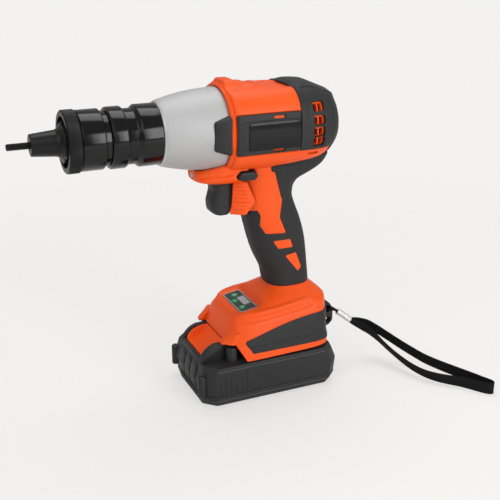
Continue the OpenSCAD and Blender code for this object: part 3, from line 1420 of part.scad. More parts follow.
mandrel();
nosepiece();
front_lock_ring();
nose_sleeve();
stroke_ring();
nose_adapter();
mandrel_chuck();
pull_shaft();
gear_housing();
thrust_bearing();
planet_carrier();
planet_gear_1();
planet_gear_2();
planet_gear_3();
ring_gear();
sun_gear();
motor_plate();
rotor();
front_bearing();
rear_bearing();
stator();
stator_coils();
hall_board();
cooling_fan();
housing_left();
housing_right();
rear_cap();
side_panel_left();
side_panel_right();
label_plate();
wedge_pad_left();
wedge_pad_right();
grip_left();
grip_right();
trigger();
trigger_spring();
trigger_switch();
direction_selector();
work_light();
foot_bumper_left();
foot_bumper_right();
control_panel();
display_window();
button_power();
button_less();
button_more();
control_board();
terminal_block();
strap_lug();
housing_screws();
cap_screws();
battery_lower_case();
battery_upper_case();
battery_cells();
battery_board();
battery_latch();
latch_spring();
strap_cord();
strap_ferrule();
strap_webbing();
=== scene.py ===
import math

import bmesh
import bpy
import numpy as np
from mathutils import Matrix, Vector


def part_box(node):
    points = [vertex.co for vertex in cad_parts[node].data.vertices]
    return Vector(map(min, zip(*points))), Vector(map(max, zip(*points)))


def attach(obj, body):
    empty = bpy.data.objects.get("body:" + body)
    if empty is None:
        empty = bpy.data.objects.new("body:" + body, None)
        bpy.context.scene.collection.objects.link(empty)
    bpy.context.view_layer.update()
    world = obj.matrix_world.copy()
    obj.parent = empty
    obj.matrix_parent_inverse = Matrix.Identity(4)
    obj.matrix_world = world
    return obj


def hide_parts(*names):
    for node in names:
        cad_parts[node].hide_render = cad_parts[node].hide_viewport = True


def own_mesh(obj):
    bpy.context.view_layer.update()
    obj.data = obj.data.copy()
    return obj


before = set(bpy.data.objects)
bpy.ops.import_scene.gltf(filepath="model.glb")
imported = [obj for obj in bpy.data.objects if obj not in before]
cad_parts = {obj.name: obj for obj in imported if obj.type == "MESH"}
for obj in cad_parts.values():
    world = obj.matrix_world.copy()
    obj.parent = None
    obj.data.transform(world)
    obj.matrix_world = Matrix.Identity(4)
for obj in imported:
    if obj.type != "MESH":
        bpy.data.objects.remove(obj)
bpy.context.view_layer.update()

# Studio: a pale floor that runs out to a pale surround, soft boxes from the upper left, from
# above and from the right, and one beside the camera that draws the highlights on the nose.
# The camera stands a little above the tool, to its left and in front.
class Wire:
    """One output of a node tree. Arithmetic on it adds Math nodes."""

    def __init__(self, tree, socket):
        self.tree, self.socket = tree, socket

    def add(self, kind, settings=None, inputs=None, out=0):
        """A new node with its settings and the values or links of its sockets."""
        node = self.tree.nodes.new(kind)
        for name, value in (settings or {}).items():
            setattr(node, name, value)
        for key, value in (inputs or {}).items():
            if isinstance(value, Wire):
                self.tree.links.new(value.socket, node.inputs[key])
            else:
                node.inputs[key].default_value = value
        return Wire(self.tree, node.outputs[out] if node.outputs else None)

    def math(self, operation, first, second=0.0):
        return self.add("ShaderNodeMath", {"operation": operation}, {0: first, 1: second})

    def __add__(self, other):
        return self.math("ADD", self, other)

    def __sub__(self, other):
        return self.math("SUBTRACT", self, other)

    def __rsub__(self, other):
        return self.math("SUBTRACT", other, self)

    def __mul__(self, other):
        return self.math("MULTIPLY", self, other)

    def __gt__(self, other):
        return self.math("GREATER_THAN", self, other)

    __radd__, __rmul__ = __add__, __mul__

    def blend(self, low, high):
        """A colour between low and high by this value."""
        return self.add("ShaderNodeMix", {"data_type": "RGBA"},
                        {0: self, 6: (*low, 1), 7: (*high, 1)}, out=2)

    def part(self, axis):
        """One of the three numbers of a place."""
        return self.add("ShaderNodeSeparateXYZ", inputs={0: self}, out=axis)

    def noise(self, scale, detail):
        return self.add("ShaderNodeTexNoise",
                        inputs={"Vector": self, "Scale": scale, "Detail": detail})

    def streaks(self, scale):
        """Noise along this one number."""
        return self.add("ShaderNodeTexNoise", {"noise_dimensions": "1D"},
                        {"W": self * scale, "Detail": 2})

    def bump(self, strength, distance):
        return self.add("ShaderNodeBump",
                        inputs={"Strength": strength, "Distance": distance, "Height": self})


def placed(name, data):
    """A new object, put in the scene."""
    made = bpy.data.objects.new(name, data)
    bpy.context.scene.collection.objects.link(made)
    return made


pale = (0.896, 0.888, 0.872)
camera = placed("camera", bpy.data.cameras.new("camera"))
camera.data.sensor_width, camera.data.lens = 36, 62.86
camera.data.clip_start, camera.data.clip_end = 0.01, 50
camera.location = (-0.265326, -0.584048, 0.349552)
camera.rotation_euler = (math.radians(69.6), 0, math.radians(-24))
bpy.context.scene.camera = camera
bpy.context.scene.view_settings.view_transform = "Standard"

floor_mesh = bpy.data.meshes.new("floor")
floor_mesh.from_pydata([(-9, -9, 0), (9, -9, 0), (9, 9, 0), (-9, 9, 0)], [], [(0, 1, 2, 3)])
floor = placed("floor", floor_mesh)
floor_finish = bpy.data.materials.new("floor_paper")
floor_finish.use_nodes = True
paper = floor_finish.node_tree
paper.nodes.clear()
plain = Wire(paper, paper.nodes.new("ShaderNodeLightPath").outputs["Is Camera Ray"])
spread = plain.add("ShaderNodeVectorMath", {"operation": "LENGTH"}, {
    0: Wire(paper, paper.nodes.new("ShaderNodeTexCoord").outputs["Object"])}, out=1)
far = plain.add("ShaderNodeMapRange", {"interpolation_type": "SMOOTHSTEP"}, {
    "Value": spread, "From Min": 0.22, "From Max": 0.75, "To Min": 0.62, "To Max": 1.0})
lit = plain.add("ShaderNodeBsdfDiffuse", inputs={"Color": (0.86, 0.855, 0.845, 1)})
glow = plain.add("ShaderNodeEmission", inputs={"Color": (*pale, 1), "Strength": 1.0})
blended = plain.add("ShaderNodeMixShader", inputs={0: plain * far, 1: lit, 2: glow})
plain.add("ShaderNodeOutputMaterial", inputs={"Surface": blended})
floor_mesh.materials.append(floor_finish)

world = bpy.data.worlds.new("surround")
bpy.context.scene.world = world
world.use_nodes = True
world.node_tree.nodes.clear()
path = world.node_tree.nodes.new("ShaderNodeLightPath")
direct = Wire(world.node_tree, path.outputs["Is Camera Ray"])
direct = direct.math("MAXIMUM", direct, Wire(world.node_tree, path.outputs["Is Transmission Ray"]))
ambient = direct.add("ShaderNodeBackground", inputs={"Color": (1, 0.99, 0.98, 1), "Strength": 0.42})
backdrop = direct.add("ShaderNodeBackground", inputs={"Color": (*pale, 1), "Strength": 1.0})
around = direct.add("ShaderNodeMixShader", inputs={0: direct, 1: ambient, 2: backdrop})
direct.add("ShaderNodeOutputWorld", inputs={"Surface": around})


def soft_box(name, place, aim, size, watts):
    lamp = bpy.data.lights.new(name, "AREA")
    lamp.shape, lamp.size, lamp.size_y, lamp.energy = "RECTANGLE", size[0], size[1], watts
    box = placed(name, lamp)
    direction = np.array(aim, float) - np.array(place, float)
    turn = math.atan2(direction[1], direction[0])
    tip = math.acos(-direction[2] / np.linalg.norm(direction))
    box.location, box.rotation_euler = place, (tip, 0, turn - math.pi / 2)


soft_box("key", (-0.85, -0.9, 1.15), (0, 0, 0.12), (1.3, 1.3), 8.0)
soft_box("fill", (1.0, -0.7, 0.7), (0, 0, 0.1), (0.8, 0.8), 1.0)
soft_box("top", (0.1, 0.35, 1.4), (0, 0, 0.1), (1.0, 0.8), 7.6)
soft_box("front", (0.42, -1.15, 0.53), (-0.05, 0, 0.3), (0.5, 0.8), 7.4)

# Wrist strap: a loop of black cord through the lug, held in a crimped metal ferrule, and a band
# of black polyester webbing that runs out on edge over the floor, folds and comes back.
mm = 0.001


def mesh_piece(name, corners, faces, materials, crease=35, tints=None, merge=True):
    """A piece from corners in millimetres, smooth across edges flatter than crease degrees."""
    mesh = bpy.data.meshes.new(name)
    mesh.from_pydata((np.asarray(corners, float) * mm).tolist(), [], [list(f) for f in faces])
    for one in materials if isinstance(materials, (list, tuple)) else [materials]:
        mesh.materials.append(one)
    if tints is not None:
        mesh.polygons.foreach_set("material_index", list(tints))
    if merge:
        work = bmesh.new()
        work.from_mesh(mesh)
        bmesh.ops.remove_doubles(work, verts=work.verts, dist=2e-6)
        bmesh.ops.recalc_face_normals(work, faces=work.faces)
        work.to_mesh(mesh)
        work.free()
    mesh.polygons.foreach_set("use_smooth", [True] * len(mesh.polygons))
    mesh.set_sharp_from_angle(angle=math.radians(crease))
    return placed(name, mesh)


def fit(piece, body, slot, *nodes):
    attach(piece, body)
    if nodes:
        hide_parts(*nodes)
    return piece


def finish(name, fixed):
    """A material: its shader, and a wire from the object's own coordinates."""
    made = bpy.data.materials.new(name)
    made.use_nodes = True
    shader = made.node_tree.nodes["Principled BSDF"]
    for key, value in fixed.items():
        shader.inputs[key].default_value = (*value, 1) if isinstance(value, tuple) else value
    place = made.node_tree.nodes.new("ShaderNodeTexCoord")
    return made, shader, Wire(made.node_tree, place.outputs["Object"])


def feed(shader, **wires):
    for key, wire in wires.items():
        wire.tree.links.new(wire.socket, shader.inputs[key.replace("_", " ")])


def smooth_route(points, cuts):
    """Points along a Catmull-Rom curve through the route."""
    p = np.array([2 * np.array(points[0]) - points[1], *points,
                  2 * np.array(points[-1]) - points[-2]])
    t = np.linspace(0, 1, cuts, endpoint=False)[:, None]
    runs = [0.5 * (2 * b + (c - a) * t + (2 * a - 5 * b + 4 * c - d) * t ** 2
                   + (3 * b - a - 3 * c + d) * t ** 3)
            for a, b, c, d in zip(p, p[1:], p[2:], p[3:])]
    return np.vstack([*runs, [p[-2]]])


def swept(route, outline_at):
    """Rings of an outline carried along a route: its first axis level, its second across."""
    ahead = np.gradient(route, axis=0)
    ahead /= np.linalg.norm(ahead, axis=1)[:, None]
    level = np.cross([0, 0, 1], ahead)
    level /= np.linalg.norm(level, axis=1)[:, None]
    up = np.cross(ahead, level)
    return np.array([route[i] + outline_at(i)[:, :1] * level[i] + outline_at(i)[:, 1:] * up[i]
                     for i in range(len(route))])


def ring_faces(rings, sides, gaps):
    """Four-sided faces over a number of gaps between rings of points."""
    return [[r * sides + k, r * sides + (k + 1) % sides, (r + 1) % rings * sides + (k + 1) % sides,
             (r + 1) % rings * sides + k] for r in range(gaps) for k in range(sides)]


def lofted(rows):
    """Rows of points as a form with closed ends, as corners and faces."""
    count, sides = len(rows), len(rows[0])
    ends = [list(range(sides)), [(count - 1) * sides + k for k in range(sides)]]
    return np.vstack(rows), ring_faces(count, sides, count - 1) + ends


def full_turn(count):
    return np.linspace(0, 2 * math.pi, count, endpoint=False)


def run_lengths(route):
    return np.concatenate([[0], np.cumsum(np.linalg.norm(np.diff(route, axis=0), axis=1))])


webbing_route = smooth_route(np.array([
    [84.2, -5.2, 37.4], [88, -5.4, 34.6], [94.5, -6.6, 30.6], [101, -10.6, 26],
    [106, -17.5, 20.8], [110, -27.5, 15.5], [114, -40, 11], [118, -52, 8],
    [122.5, -62.5, 6.4], [128.5, -71, 5.6], [135.5, -78, 5.2], [142.5, -85, 5.2],
    [148.5, -93, 5.2], [152.6, -98.9, 5.2], [155.4, -102.2, 5.2], [158, -104, 5.2],
    [160.4, -103.4, 5.2], [161.2, -100.8, 5.2], [160.2, -97.2, 5.2], [158, -92, 5.3],
    [154.5, -83.5, 5.6], [150, -74.5, 6.1], [144.5, -65, 7], [139, -56, 8.2],
    [133, -46.5, 10.2], [127.5, -37, 13.2], [121.5, -27.5, 17], [115, -18, 21.6],
    [108, -10.2, 26.4], [100.5, -5.6, 30.8], [92.5, -4.3, 34.6], [88, -4.5, 36.2],
    [84.4, -4.9, 37.5]]), 8)
webbing_run = run_lengths(webbing_route)
webbing_half, webbing_thick = 5.0, 0.7


def webbing_outline(i):
    """The band's section, gathered in the ferrule, with rolled edges; both runs lean one way."""
    share = webbing_run[i] / webbing_run[-1]
    gather = min(1, 0.34 + 0.66 * webbing_run[-1] * min(share, 1 - share) / 17)
    lean = math.radians(np.interp(share, [0, 0.16, 0.3, 0.42, 0.5, 0.58, 0.75, 1],
                                  [-34, -34, -27, -9, 0, 8, 17, 30]))
    v = np.array([-1, -0.93, -0.8, -0.3, 0.3, 0.8, 0.93, 1])
    half = webbing_half * gather
    t = webbing_thick * np.array([0.45, 0.95, 0.78, 0.7, 0.7, 0.78, 0.95, 0.45])
    t = t * (1.6 - 0.6 * gather)
    flat = np.vstack([np.stack([-t, v * half], 1), np.stack([t[::-1], v[::-1] * half], 1)])
    return flat @ np.array([[math.cos(lean), -math.sin(lean)], [math.sin(lean), math.cos(lean)]])


webbing_finish, shader, place = finish("black_webbing", {
    "Base Color": (0.004, 0.004, 0.004), "Roughness": 0.9, "Specular IOR Level": 0.12})
run = place.add("ShaderNodeUVMap", {"uv_map": "run"})
along, round_it = run.part(0), run.part(1)
twill = along * 5.2 + round_it.math("SINE", round_it * 60) * 0.9
thread = twill.math("SINE", twill)
pick = thread.math("SINE", round_it * 190)
weave = (thread * 0.5 + 0.5) * (pick * 0.35 + 0.65)
feed(shader, Base_Color=weave.blend((0.003, 0.003, 0.003), (0.024, 0.024, 0.0245)),
     Normal=weave.bump(0.6, 0.0003))


def woven(name, node, route, outline_at):
    """A woven piece, with a UV map that runs along it in millimetres and once round it."""
    piece = mesh_piece(name, *lofted(swept(route, outline_at)), webbing_finish, 60, merge=False)
    index, sides = np.zeros(len(piece.data.loops), int), len(outline_at(0))
    piece.data.loops.foreach_get("vertex_index", index)
    around = np.stack([run_lengths(route)[index // sides], (index % sides) / sides], 1)
    piece.data.uv_layers.new(name="run").data.foreach_set("uv", around.ravel())
    return fit(piece, "housing", "strap_fabric", node)


webbing = woven("wrist_webbing", "strap_webbing", webbing_route, webbing_outline)

cord_route = smooth_route(np.array([
    [75, -3.1, 45], [72.6, -2.9, 46.9], [70.4, -3.8, 48.3], [67.6, -4.2, 49.4], [65, -3.2, 49.4],
    [64.2, 0, 49.4], [65, 3.2, 49.4], [67.6, 3.8, 49.3], [70.2, 2.2, 48.4], [72.6, -0.7, 47],
    [75, -1.7, 45.2]]), 10)
cord_run = run_lengths(cord_route)
cord_turn = full_turn(16)


def cord_outline(i):
    """Three strands twisted together: the section's radius swells at each and turns along."""
    r = 0.9 + 0.1 * np.abs(np.cos(1.5 * (cord_turn - cord_run[i] * 1.3)))
    return np.stack([r * np.cos(cord_turn), -r * np.sin(cord_turn)], 1)


cord = woven("lug_cord", "strap_cord", cord_route, cord_outline)

ferrule_ends = np.array([[73.6, -2.2, 46.2], [85.2, -5, 36.9]])
ferrule_shape = [[0, 1.9], [0.03, 2.5], [0.08, 2.6], [0.4, 2.6], [0.44, 2.52],
                 [0.56, 2.52], [0.6, 2.6], [0.92, 2.6], [0.97, 2.5], [1, 1.9]]
ferrule_route = np.array([ferrule_ends[0] + s * (ferrule_ends[1] - ferrule_ends[0])
                          for s, r in ferrule_shape])
ferrule_turn = full_turn(32)
ferrule_rings = swept(ferrule_route, lambda i: ferrule_shape[i][1] * np.stack(
    [np.cos(ferrule_turn), -np.sin(ferrule_turn)], 1))
bright_finish, shader, place = finish("bright_crimp", {
    "Base Color": (0.74, 0.74, 0.75), "Metallic": 0.7, "Roughness": 0.42})
scuff = place.noise(900, 3)
feed(shader, Base_Color=scuff.blend((0.62, 0.62, 0.63), (0.82, 0.82, 0.83)),
     Roughness=scuff * 0.16 + 0.34)
fit(mesh_piece("strap_crimp", *lofted(ferrule_rings), bright_finish, 30), "housing", "silver_alloy",
    "strap_ferrule")

# Nose: turned steel and alloy pieces, black oxidised and oiled, screwed one into the next from
# the gear case forward. The front ring locks the nosepiece and has a fine straight knurl, the
# middle ring sets the stroke, and the mandrel's thread takes the rivet nut.
axis_h = 211.0


def rounded(profile, radius, cuts=3, lathe=True):
    """A closed outline with its corners taken off; for a lathe, corners on the axis stay."""
    p, out = np.array(profile, float), []
    for a, b, c in zip(np.roll(p, 1, 0), p, np.roll(p, -1, 0)):
        back, on = np.linalg.norm(a - b), np.linalg.norm(c - b)
        if (lathe and b[0] < 1e-6) or min(back, on) < 1e-6:
            out.append(b)
            continue
        start = b + (a - b) * min(radius / back, 0.42)
        end = b + (c - b) * min(radius / on, 0.42)
        out += [start * (1 - t) ** 2 + b * 2 * t * (1 - t) + end * t ** 2
                for t in np.linspace(0, 1, cuts + 1)]
    return np.array(out)


def about_axis(x, r, t):
    """Points round the tool's axis, from places along it, radii and turns."""
    x, r, t = np.broadcast_arrays(x, r, t)
    return np.stack([x, -r * np.cos(t), axis_h + r * np.sin(t)], -1)


def turned(outline, steps=144, ripple=None):
    """A closed [radius, x] outline turned about the tool's axis, as corners and faces."""
    t = full_turn(steps)
    r = outline[:, :1] + (ripple(outline, t) if ripple else 0)
    corners = about_axis(outline[:, 1:], r, t).reshape(-1, 3)
    return corners, ring_faces(len(outline), steps, len(outline))


def black_metal(name, dark, light, rough, shine, lines):
    """Oxidised metal: a dark coat with turning lines round the axis and faint cloudy handling."""
    made, shader, place = finish(name, {"Base Color": dark, "Roughness": rough, "IOR": 1.5,
                                        "Specular IOR Level": shine})
    cloud, cut = place.noise(70, 4), place.part(0).streaks(lines)
    feed(shader, Base_Color=(cloud * 0.6 + cut * 0.4).blend(dark, light),
         Roughness=cloud * 0.08 + cut * 0.06 + (rough - 0.07),
         Normal=cut.bump(0.05, 0.0002))
    return made


nose_black = black_metal("black_oxide", (0.001, 0.001, 0.0011), (0.003, 0.003, 0.0032),
                         0.12, 0.34, 2600)
ring_black = black_metal("black_oxide_dull", (0.002, 0.002, 0.0021), (0.006, 0.006, 0.0062),
                         0.3, 0.2, 3200)
thread_black = black_metal("phosphate_black", (0.004, 0.004, 0.0042), (0.014, 0.014, 0.0136),
                           0.3, 0.2, 900)

for name, body, slot, node, soft, outline in (
        ("rear_collar", "housing", "black_alloy", "nose_adapter", 0.45,
         [[12.2, -117], [15, -117], [15, -103], [19.7, -103], [19.7, -96.4], [20.3, -95.6],
          [22, -93.6], [22, -79.2], [17, -79.2], [17, -71], [12.2, -71]]),
        ("stroke_collar", "stroke_ring", "black_steel", "stroke_ring", 0.35,
         [[15.06, -115], [20.55, -115], [21.75, -113.8], [21.75, -104.4], [21.15, -103.3],
          [15.06, -103.3]]),
        ("nose_tube", "housing", "black_alloy", "nose_sleeve", 0.35,
         [[9.2, -141], [16, -141], [16, -135.5], [20.6, -135.5], [21.25, -134.9], [21.25, -119.8],
          [20.5, -119], [19.4, -119], [19.4, -115.2], [15.2, -115.2], [15.2, -117.2],
          [11.5, -117.2], [11.5, -127], [9.2, -127]])):
    fit(mesh_piece(name, *turned(rounded(outline, soft)), nose_black, 28), body, slot, node)

knurl_count = 180


def knurl(outline, t):
    """Fine grooves along the axis, only on the ring's outer wall."""
    wall = np.clip((outline[:, :1] - 21.6) / 0.4, 0, 1)
    return -0.16 * wall * (0.5 - 0.5 * np.cos(knurl_count * t))[None, :]


lock_outline = rounded([[17.8, -145], [21.2, -145], [22, -144.2], [22, -136.6], [21.4, -135.7],
                        [16.06, -135.7], [16.06, -139], [17.8, -139]], 0.35)
fit(mesh_piece("lock_collar", *turned(lock_outline, knurl_count * 6, knurl), ring_black, 50),
    "lock_ring", "black_steel", "front_lock_ring")

# Nosepiece: one turned steel piece with a six-sided flange for a spanner and a serrated face,
# screwed into the nose and locked by the front ring.
tip_front, tip_root, flange_front, flange_back = -167.4, -149.93, -146.2, -141.2
serrations = 30


def serrate(outline, t):
    """Small teeth on the rim of the nosepiece's face, which bite on the rivet nut's flange."""
    rim = (np.abs(outline[:, 1:] - tip_front) < 0.5) & (outline[:, :1] > 6.6)
    return -0.4 * rim * (np.cos(serrations * t) > 0.2)[None, :]


def joined(*parts):
    corners, faces, count = [], [], 0
    for c, f in parts:
        corners.append(np.asarray(c))
        faces += [[i + count for i in one] for one in f]
        count += len(c)
    return np.vstack(corners), faces


tip_outline = rounded([[2.9, tip_front], [6.9, tip_front], [7.7, tip_front + 0.6], [9.2, tip_root],
                       [10.1, -148.1], [12.2, flange_front - 0.3], [12.9, flange_front],
                       [12.9, flange_back], [9, flange_back], [9, -127], [2.9, -127]], 0.25)
hex_turn = np.radians(np.arange(6) * 60 + 90)
hex_rows = [about_axis(x, 15 * share, hex_turn) for x, share in (
    (flange_front, 0.93), (flange_front + 0.9, 1.0), (flange_back - 0.2, 1.0),
    (flange_back, 0.985))]
fit(mesh_piece("nosepiece_turned", *joined(turned(tip_outline, 180, serrate), lofted(hex_rows)),
               thread_black, 28),
    "housing", "black_steel", "nosepiece")

# Mandrel: a hardened steel screw, phosphated black, held in the chuck by its head. Its thread is
# a real helix, cut from the bevelled tip to the relief.
mandrel_tip, thread_end, thread_pitch, thread_depth = -183, -145.5, 0.8, 0.34
thread_rows = int((thread_end - mandrel_tip) / thread_pitch * 8)
thread_x = np.linspace(mandrel_tip + 0.1, thread_end - 0.5, thread_rows)
turn = full_turn(48)
phase = (thread_x[:, None] / thread_pitch + turn[None, :] / (2 * math.pi)) % 1
ridge = np.abs(2 * phase - 1)
bevel = np.clip((thread_x[:, None] - mandrel_tip) / 1.1, 0, 1)
relief = (thread_x[:, None] > -167.85) & (thread_x[:, None] < -164.9)
radius = np.where(relief, 2.1, np.minimum(2.5 - thread_depth * ridge, 1.75 + 0.75 * bevel))
shank = np.array([[2.45, -145.9], [2.5, -118.94], [4.5, -118.94], [4.5, -113.2]])
mandrel_rows = np.concatenate([about_axis(thread_x[:, None], radius, turn),
                               about_axis(shank[:, 1:], shank[:, :1], turn)])
fit(mesh_piece("mandrel_screw", *lofted(mandrel_rows), thread_black, 50),
    "puller", "black_steel", "mandrel")

# Gear case: a die-cast aluminium bell, bead blasted and then turned at its two edges, which
# holds the gears and is clamped by its spigot in the plastic housing.
case_front, case_l = -79, 42.8


def case_radius(share):
    """The bell's radius at a share of its length: a cone, slightly swollen."""
    return 23.2 + 6.8 * share + 1.398 * np.sin(math.pi * share)


case_t = np.linspace(0, 1, 25)
case_r = case_radius(case_t)
case_wall = np.stack([case_r, case_front + case_l * case_t], 1)
case_wall[0] += (-0.7, 0)
case_lip = rounded([[17.2, case_front], *case_wall[:1], [case_r[0], case_front + 0.8]], 0.3)[4:-1]
case_outline = np.vstack([
    [[17.2, case_front]], case_lip, case_wall[1:],
    [[30, -33.1], [29.2, -32.9], [29.2, -28], [24.8, -28], [24.8, -52.2], [20.2, -52.2],
     [20, -60.3], [20, -70.2], [17.2, -70.2]]])
case_silver, shader, place = finish("blasted_aluminium", {
    "Base Color": (0.5, 0.5, 0.505), "Metallic": 0.5, "Roughness": 0.6})
ahead = place.part(0)
blast, cloud, drawn = place.noise(2600, 2), place.noise(45, 3), ahead.streaks(2200)
bright_edge = ahead.math("LESS_THAN", ahead, -0.0778)
tone = cloud * 0.5 + drawn * 0.3 + bright_edge * 0.5
feed(shader, Base_Color=tone.blend((0.42, 0.42, 0.422), (0.52, 0.52, 0.522)),
     Roughness=blast * 0.1 + cloud * 0.08 + (0.52 - bright_edge * 0.25),
     Normal=blast.bump(0.10, 0.0001))
fit(mesh_piece("gear_case", *turned(case_outline, 192), case_silver, 28), "housing", "silver_alloy",
    "gear_housing")

# Housing: two mirrored half shells of glass-filled nylon, moulded in orange and screwed together
# from the right. They make the barrel, the chin over the trigger, the core of the handle with its
# ribbed guard, and the foot that slides over the battery's rails.
def even(points, count):
    """A line of points spaced evenly along its run."""
    run = run_lengths(points)
    at = np.linspace(0, run[-1], count)
    return np.stack([np.interp(at, run, points[:, k]) for k in range(points.shape[1])], 1)


def eased(at, places, values, soft):
    """Straight runs between given places, with the corners softened over a length."""
    fine = np.linspace(places[0], places[-1], 800)
    k = max(1, int(soft / (fine[1] - fine[0])))
    kernel = np.hanning(2 * k + 3)[1:-1]
    run = np.pad(np.interp(fine, places, values), k, mode="reflect", reflect_type="odd")
    return np.interp(at, fine, np.convolve(run, kernel / kernel.sum(), "valid"))


def power(v, e):
    return np.sign(v) * np.abs(v) ** e


def normals(grid, out):
    across = np.cross(np.gradient(grid, axis=0), np.gradient(grid, axis=1)) * out
    return across / np.maximum(np.linalg.norm(across, axis=2), 1e-9)[..., None]


def raised(grid, height, out=1):
    """A grid of points moved outwards by a height at each."""
    return grid + normals(grid, out) * height[..., None]


def skin(grid, keep=None, thick=2.0, lip=0.0, out=1):
    """A moulded wall on a grid of points: kept where keep is below zero, with rolled edges."""
    rows, cols = grid.shape[:2]
    p, n = grid.reshape(-1, 3), normals(grid, out).reshape(-1, 3)
    v = np.full(rows * cols, -99.0) if keep is None else np.asarray(keep, float).ravel()
    at = np.arange(rows * cols).reshape(rows, cols)
    cells = np.stack([at[:-1, :-1], at[:-1, 1:], at[1:, 1:], at[1:, :-1]], 2).reshape(-1, 4)
    within = v[cells] <= 0
    faces, cuts, found = cells[within.all(1)].tolist(), [], {}
    for cell in cells[within.any(1) & ~within.all(1)]:
        ring = []
        for a, b in zip(cell, np.roll(cell, -1)):
            if v[a] <= 0:
                ring.append(int(a))
            if (v[a] <= 0) != (v[b] <= 0):
                key = (min(a, b), max(a, b))
                if key not in found:
                    found[key] = rows * cols + len(cuts)
                    cuts.append((*key, v[key[0]] / (v[key[0]] - v[key[1]])))
                ring.append(found[key])
        faces.append(ring)
    if cuts:
        a, b, t = map(np.array, zip(*cuts))
        p = np.vstack([p, p[a] + (p[b] - p[a]) * t[:, None]])
        n = np.vstack([n, n[a] + (n[b] - n[a]) * t[:, None]])
        v = np.concatenate([v, np.zeros(len(cuts))])
    used = np.unique(np.concatenate([np.array(f) for f in faces]))
    new = np.full(len(p), -1)
    new[used] = np.arange(len(used))
    p, n, v = p[used], n[used], v[used]
    faces = [[int(new[i]) for i in f] for f in faces]
    if lip:
        d = np.clip(-v, 0, lip)
        p = p - n * (lip - np.sqrt(lip ** 2 - (lip - d) ** 2))[:, None]
    edges = {(a, b) for f in faces for a, b in zip(f, f[1:] + f[:1])}
    m = len(p)
    walls = [[b, a, a + m, b + m] for a, b in edges if (b, a) not in edges]
    return np.vstack([p, p - n * thick]), faces + [[i + m for i in f[::-1]] for f in faces] + walls


def other_side(part):
    return part[0] * [1, -1, 1], part[1]


def fit_pair(name, part, coat, crease, slot, node):
    """A piece on the housing's left side, and its mirror image on the right."""
    for side, one in (("left", part), ("right", other_side(part))):
        fit(mesh_piece(name + side, *one, coat, crease), "housing", slot, node + side)


def outline_gap(points, x, z):
    """Distance from a side-view outline: below zero inside it."""
    best, inside = np.full(x.shape, 1e9), np.zeros(x.shape, bool)
    for (ax, az), (bx, bz) in zip(points, np.roll(points, -1, 0)):
        dx, dz = bx - ax, bz - az
        t = np.clip(((x - ax) * dx + (z - az) * dz) / (dx * dx + dz * dz + 1e-12), 0, 1)
        best = np.minimum(best, np.hypot(x - ax - t * dx, z - az - t * dz))
        if dz:
            inside ^= ((az > z) != (bz > z)) & (x < ax + (z - az) / dz * dx)
    return np.where(inside, -best, best)


def pane_gap(x, z, middle, size, corner):
    """Distance from a round-cornered rectangle in side view."""
    dx = np.abs(x - middle[0]) - size[0] / 2 + corner
    dz = np.abs(z - middle[1]) - size[1] / 2 + corner
    outside = np.hypot(np.maximum(dx, 0), np.maximum(dz, 0))
    return outside + np.minimum(np.maximum(dx, dz), 0) - corner


def step(gap, width):
    """One inside an edge, nothing outside, with a ramp of a given width across it."""
    t = np.clip(0.5 - gap / width, 0, 1)
    return t * t * (3 - 2 * t)


barrel_half_w, barrel_keel, barrel_crown = 34.5, 31.0, 31.5
barrel_at = [-33, -28.4, 14.2, 31, 42.1, 49.6, 54.2, 57]
barrel_wide = [0.92, 1, 1, 0.985, 0.955, 0.89, 0.79, 0.63]
barrel_high = [1, 1, 1, 0.985, 0.955, 0.885, 0.78, 0.64]
barrel_deep = [1, 1, 1, 0.985, 0.93, 0.8, 0.62, 0.42]
barrel_square = [2.1, 2.8, 2.8, 2.6, 2.3, 2.2, 2.15, 2.1]
barrel_turn = np.radians(np.linspace(-90, 90, 721))


def barrel_grid(xs, proud, count):
    """The barrel's left half: rows along the axis, columns from its keel to its crown."""
    shares = [eased(xs, barrel_at, v, 2.2)
              for v in (barrel_wide, barrel_high, barrel_deep, barrel_square)]
    rows = []
    for x, w, h, d, q in zip(xs, *shares):
        y = -(barrel_half_w * w + proud) * power(np.cos(barrel_turn), 2 / q)
        rise = np.where(barrel_turn < 0, barrel_keel * d, barrel_crown * h) + proud
        ring = np.stack([y, axis_h + rise * power(np.sin(barrel_turn), 2 / q)], 1)
        facet = 241.6 + proud - 0.42 * (x - 36) - 0.19 * np.maximum(np.abs(y) - 4, 0)
        ring[:, 1] = np.minimum(ring[:, 1], facet)
        rows.append(np.insert(even(ring, count), 0, x, axis=1))
    return np.array(rows)


def cap_gap(x, z):
    """Distance from the part of the barrel that the rear cap covers, in side view."""
    return np.maximum(np.maximum(20 - x, -np.maximum(x - 47.9, z - 195.5)), 186.2 - z)


vent_x, vent_heights = 35.3, [axis_h + s * barrel_crown for s in (0.525, 0.21, -0.065, -0.305)]
panel_middle, panel_size = (-5.05, axis_h - 0.04), (49.7, 29.06)
barrel_x = np.concatenate([np.linspace(-32.9, -26, 15), np.linspace(-25.4, 57, 117)])
barrel = barrel_grid(barrel_x, 0, 150)
x, y, z = np.moveaxis(barrel, 2, 0)
crest = eased(x, [-33.5, -32.4, -29.2, -22.2, -14.8, -11, 60],
              [-0.6, 0.2, 4.2, 4.1, 0.5, 0, 0], 0.8)
crown = step(np.abs(y) - 11, 8) * (z > axis_h)
scallop = ((x + 16.9) / 10.8) % 1
waves = (1.4 * (1 - (2 * scallop - 1) ** 2) * step(np.abs(x + 0.7) - 16.2, 2)
         * step(np.abs(y) - 13, 5) * (z > axis_h))
falling = 3.3 * step(-2 - x, 36) * step(x - 22, 6) * step(np.abs(y) - 14, 16) * (z > axis_h)
barrel = barrel + (np.maximum(crest, 0) * crown + waves - falling)[..., None] * [0, 0, 1]
band = 0.35 * step(x + 31.2, 0.6) - 0.7 * step(np.abs(x + 30.9) - 0.25, 0.8)
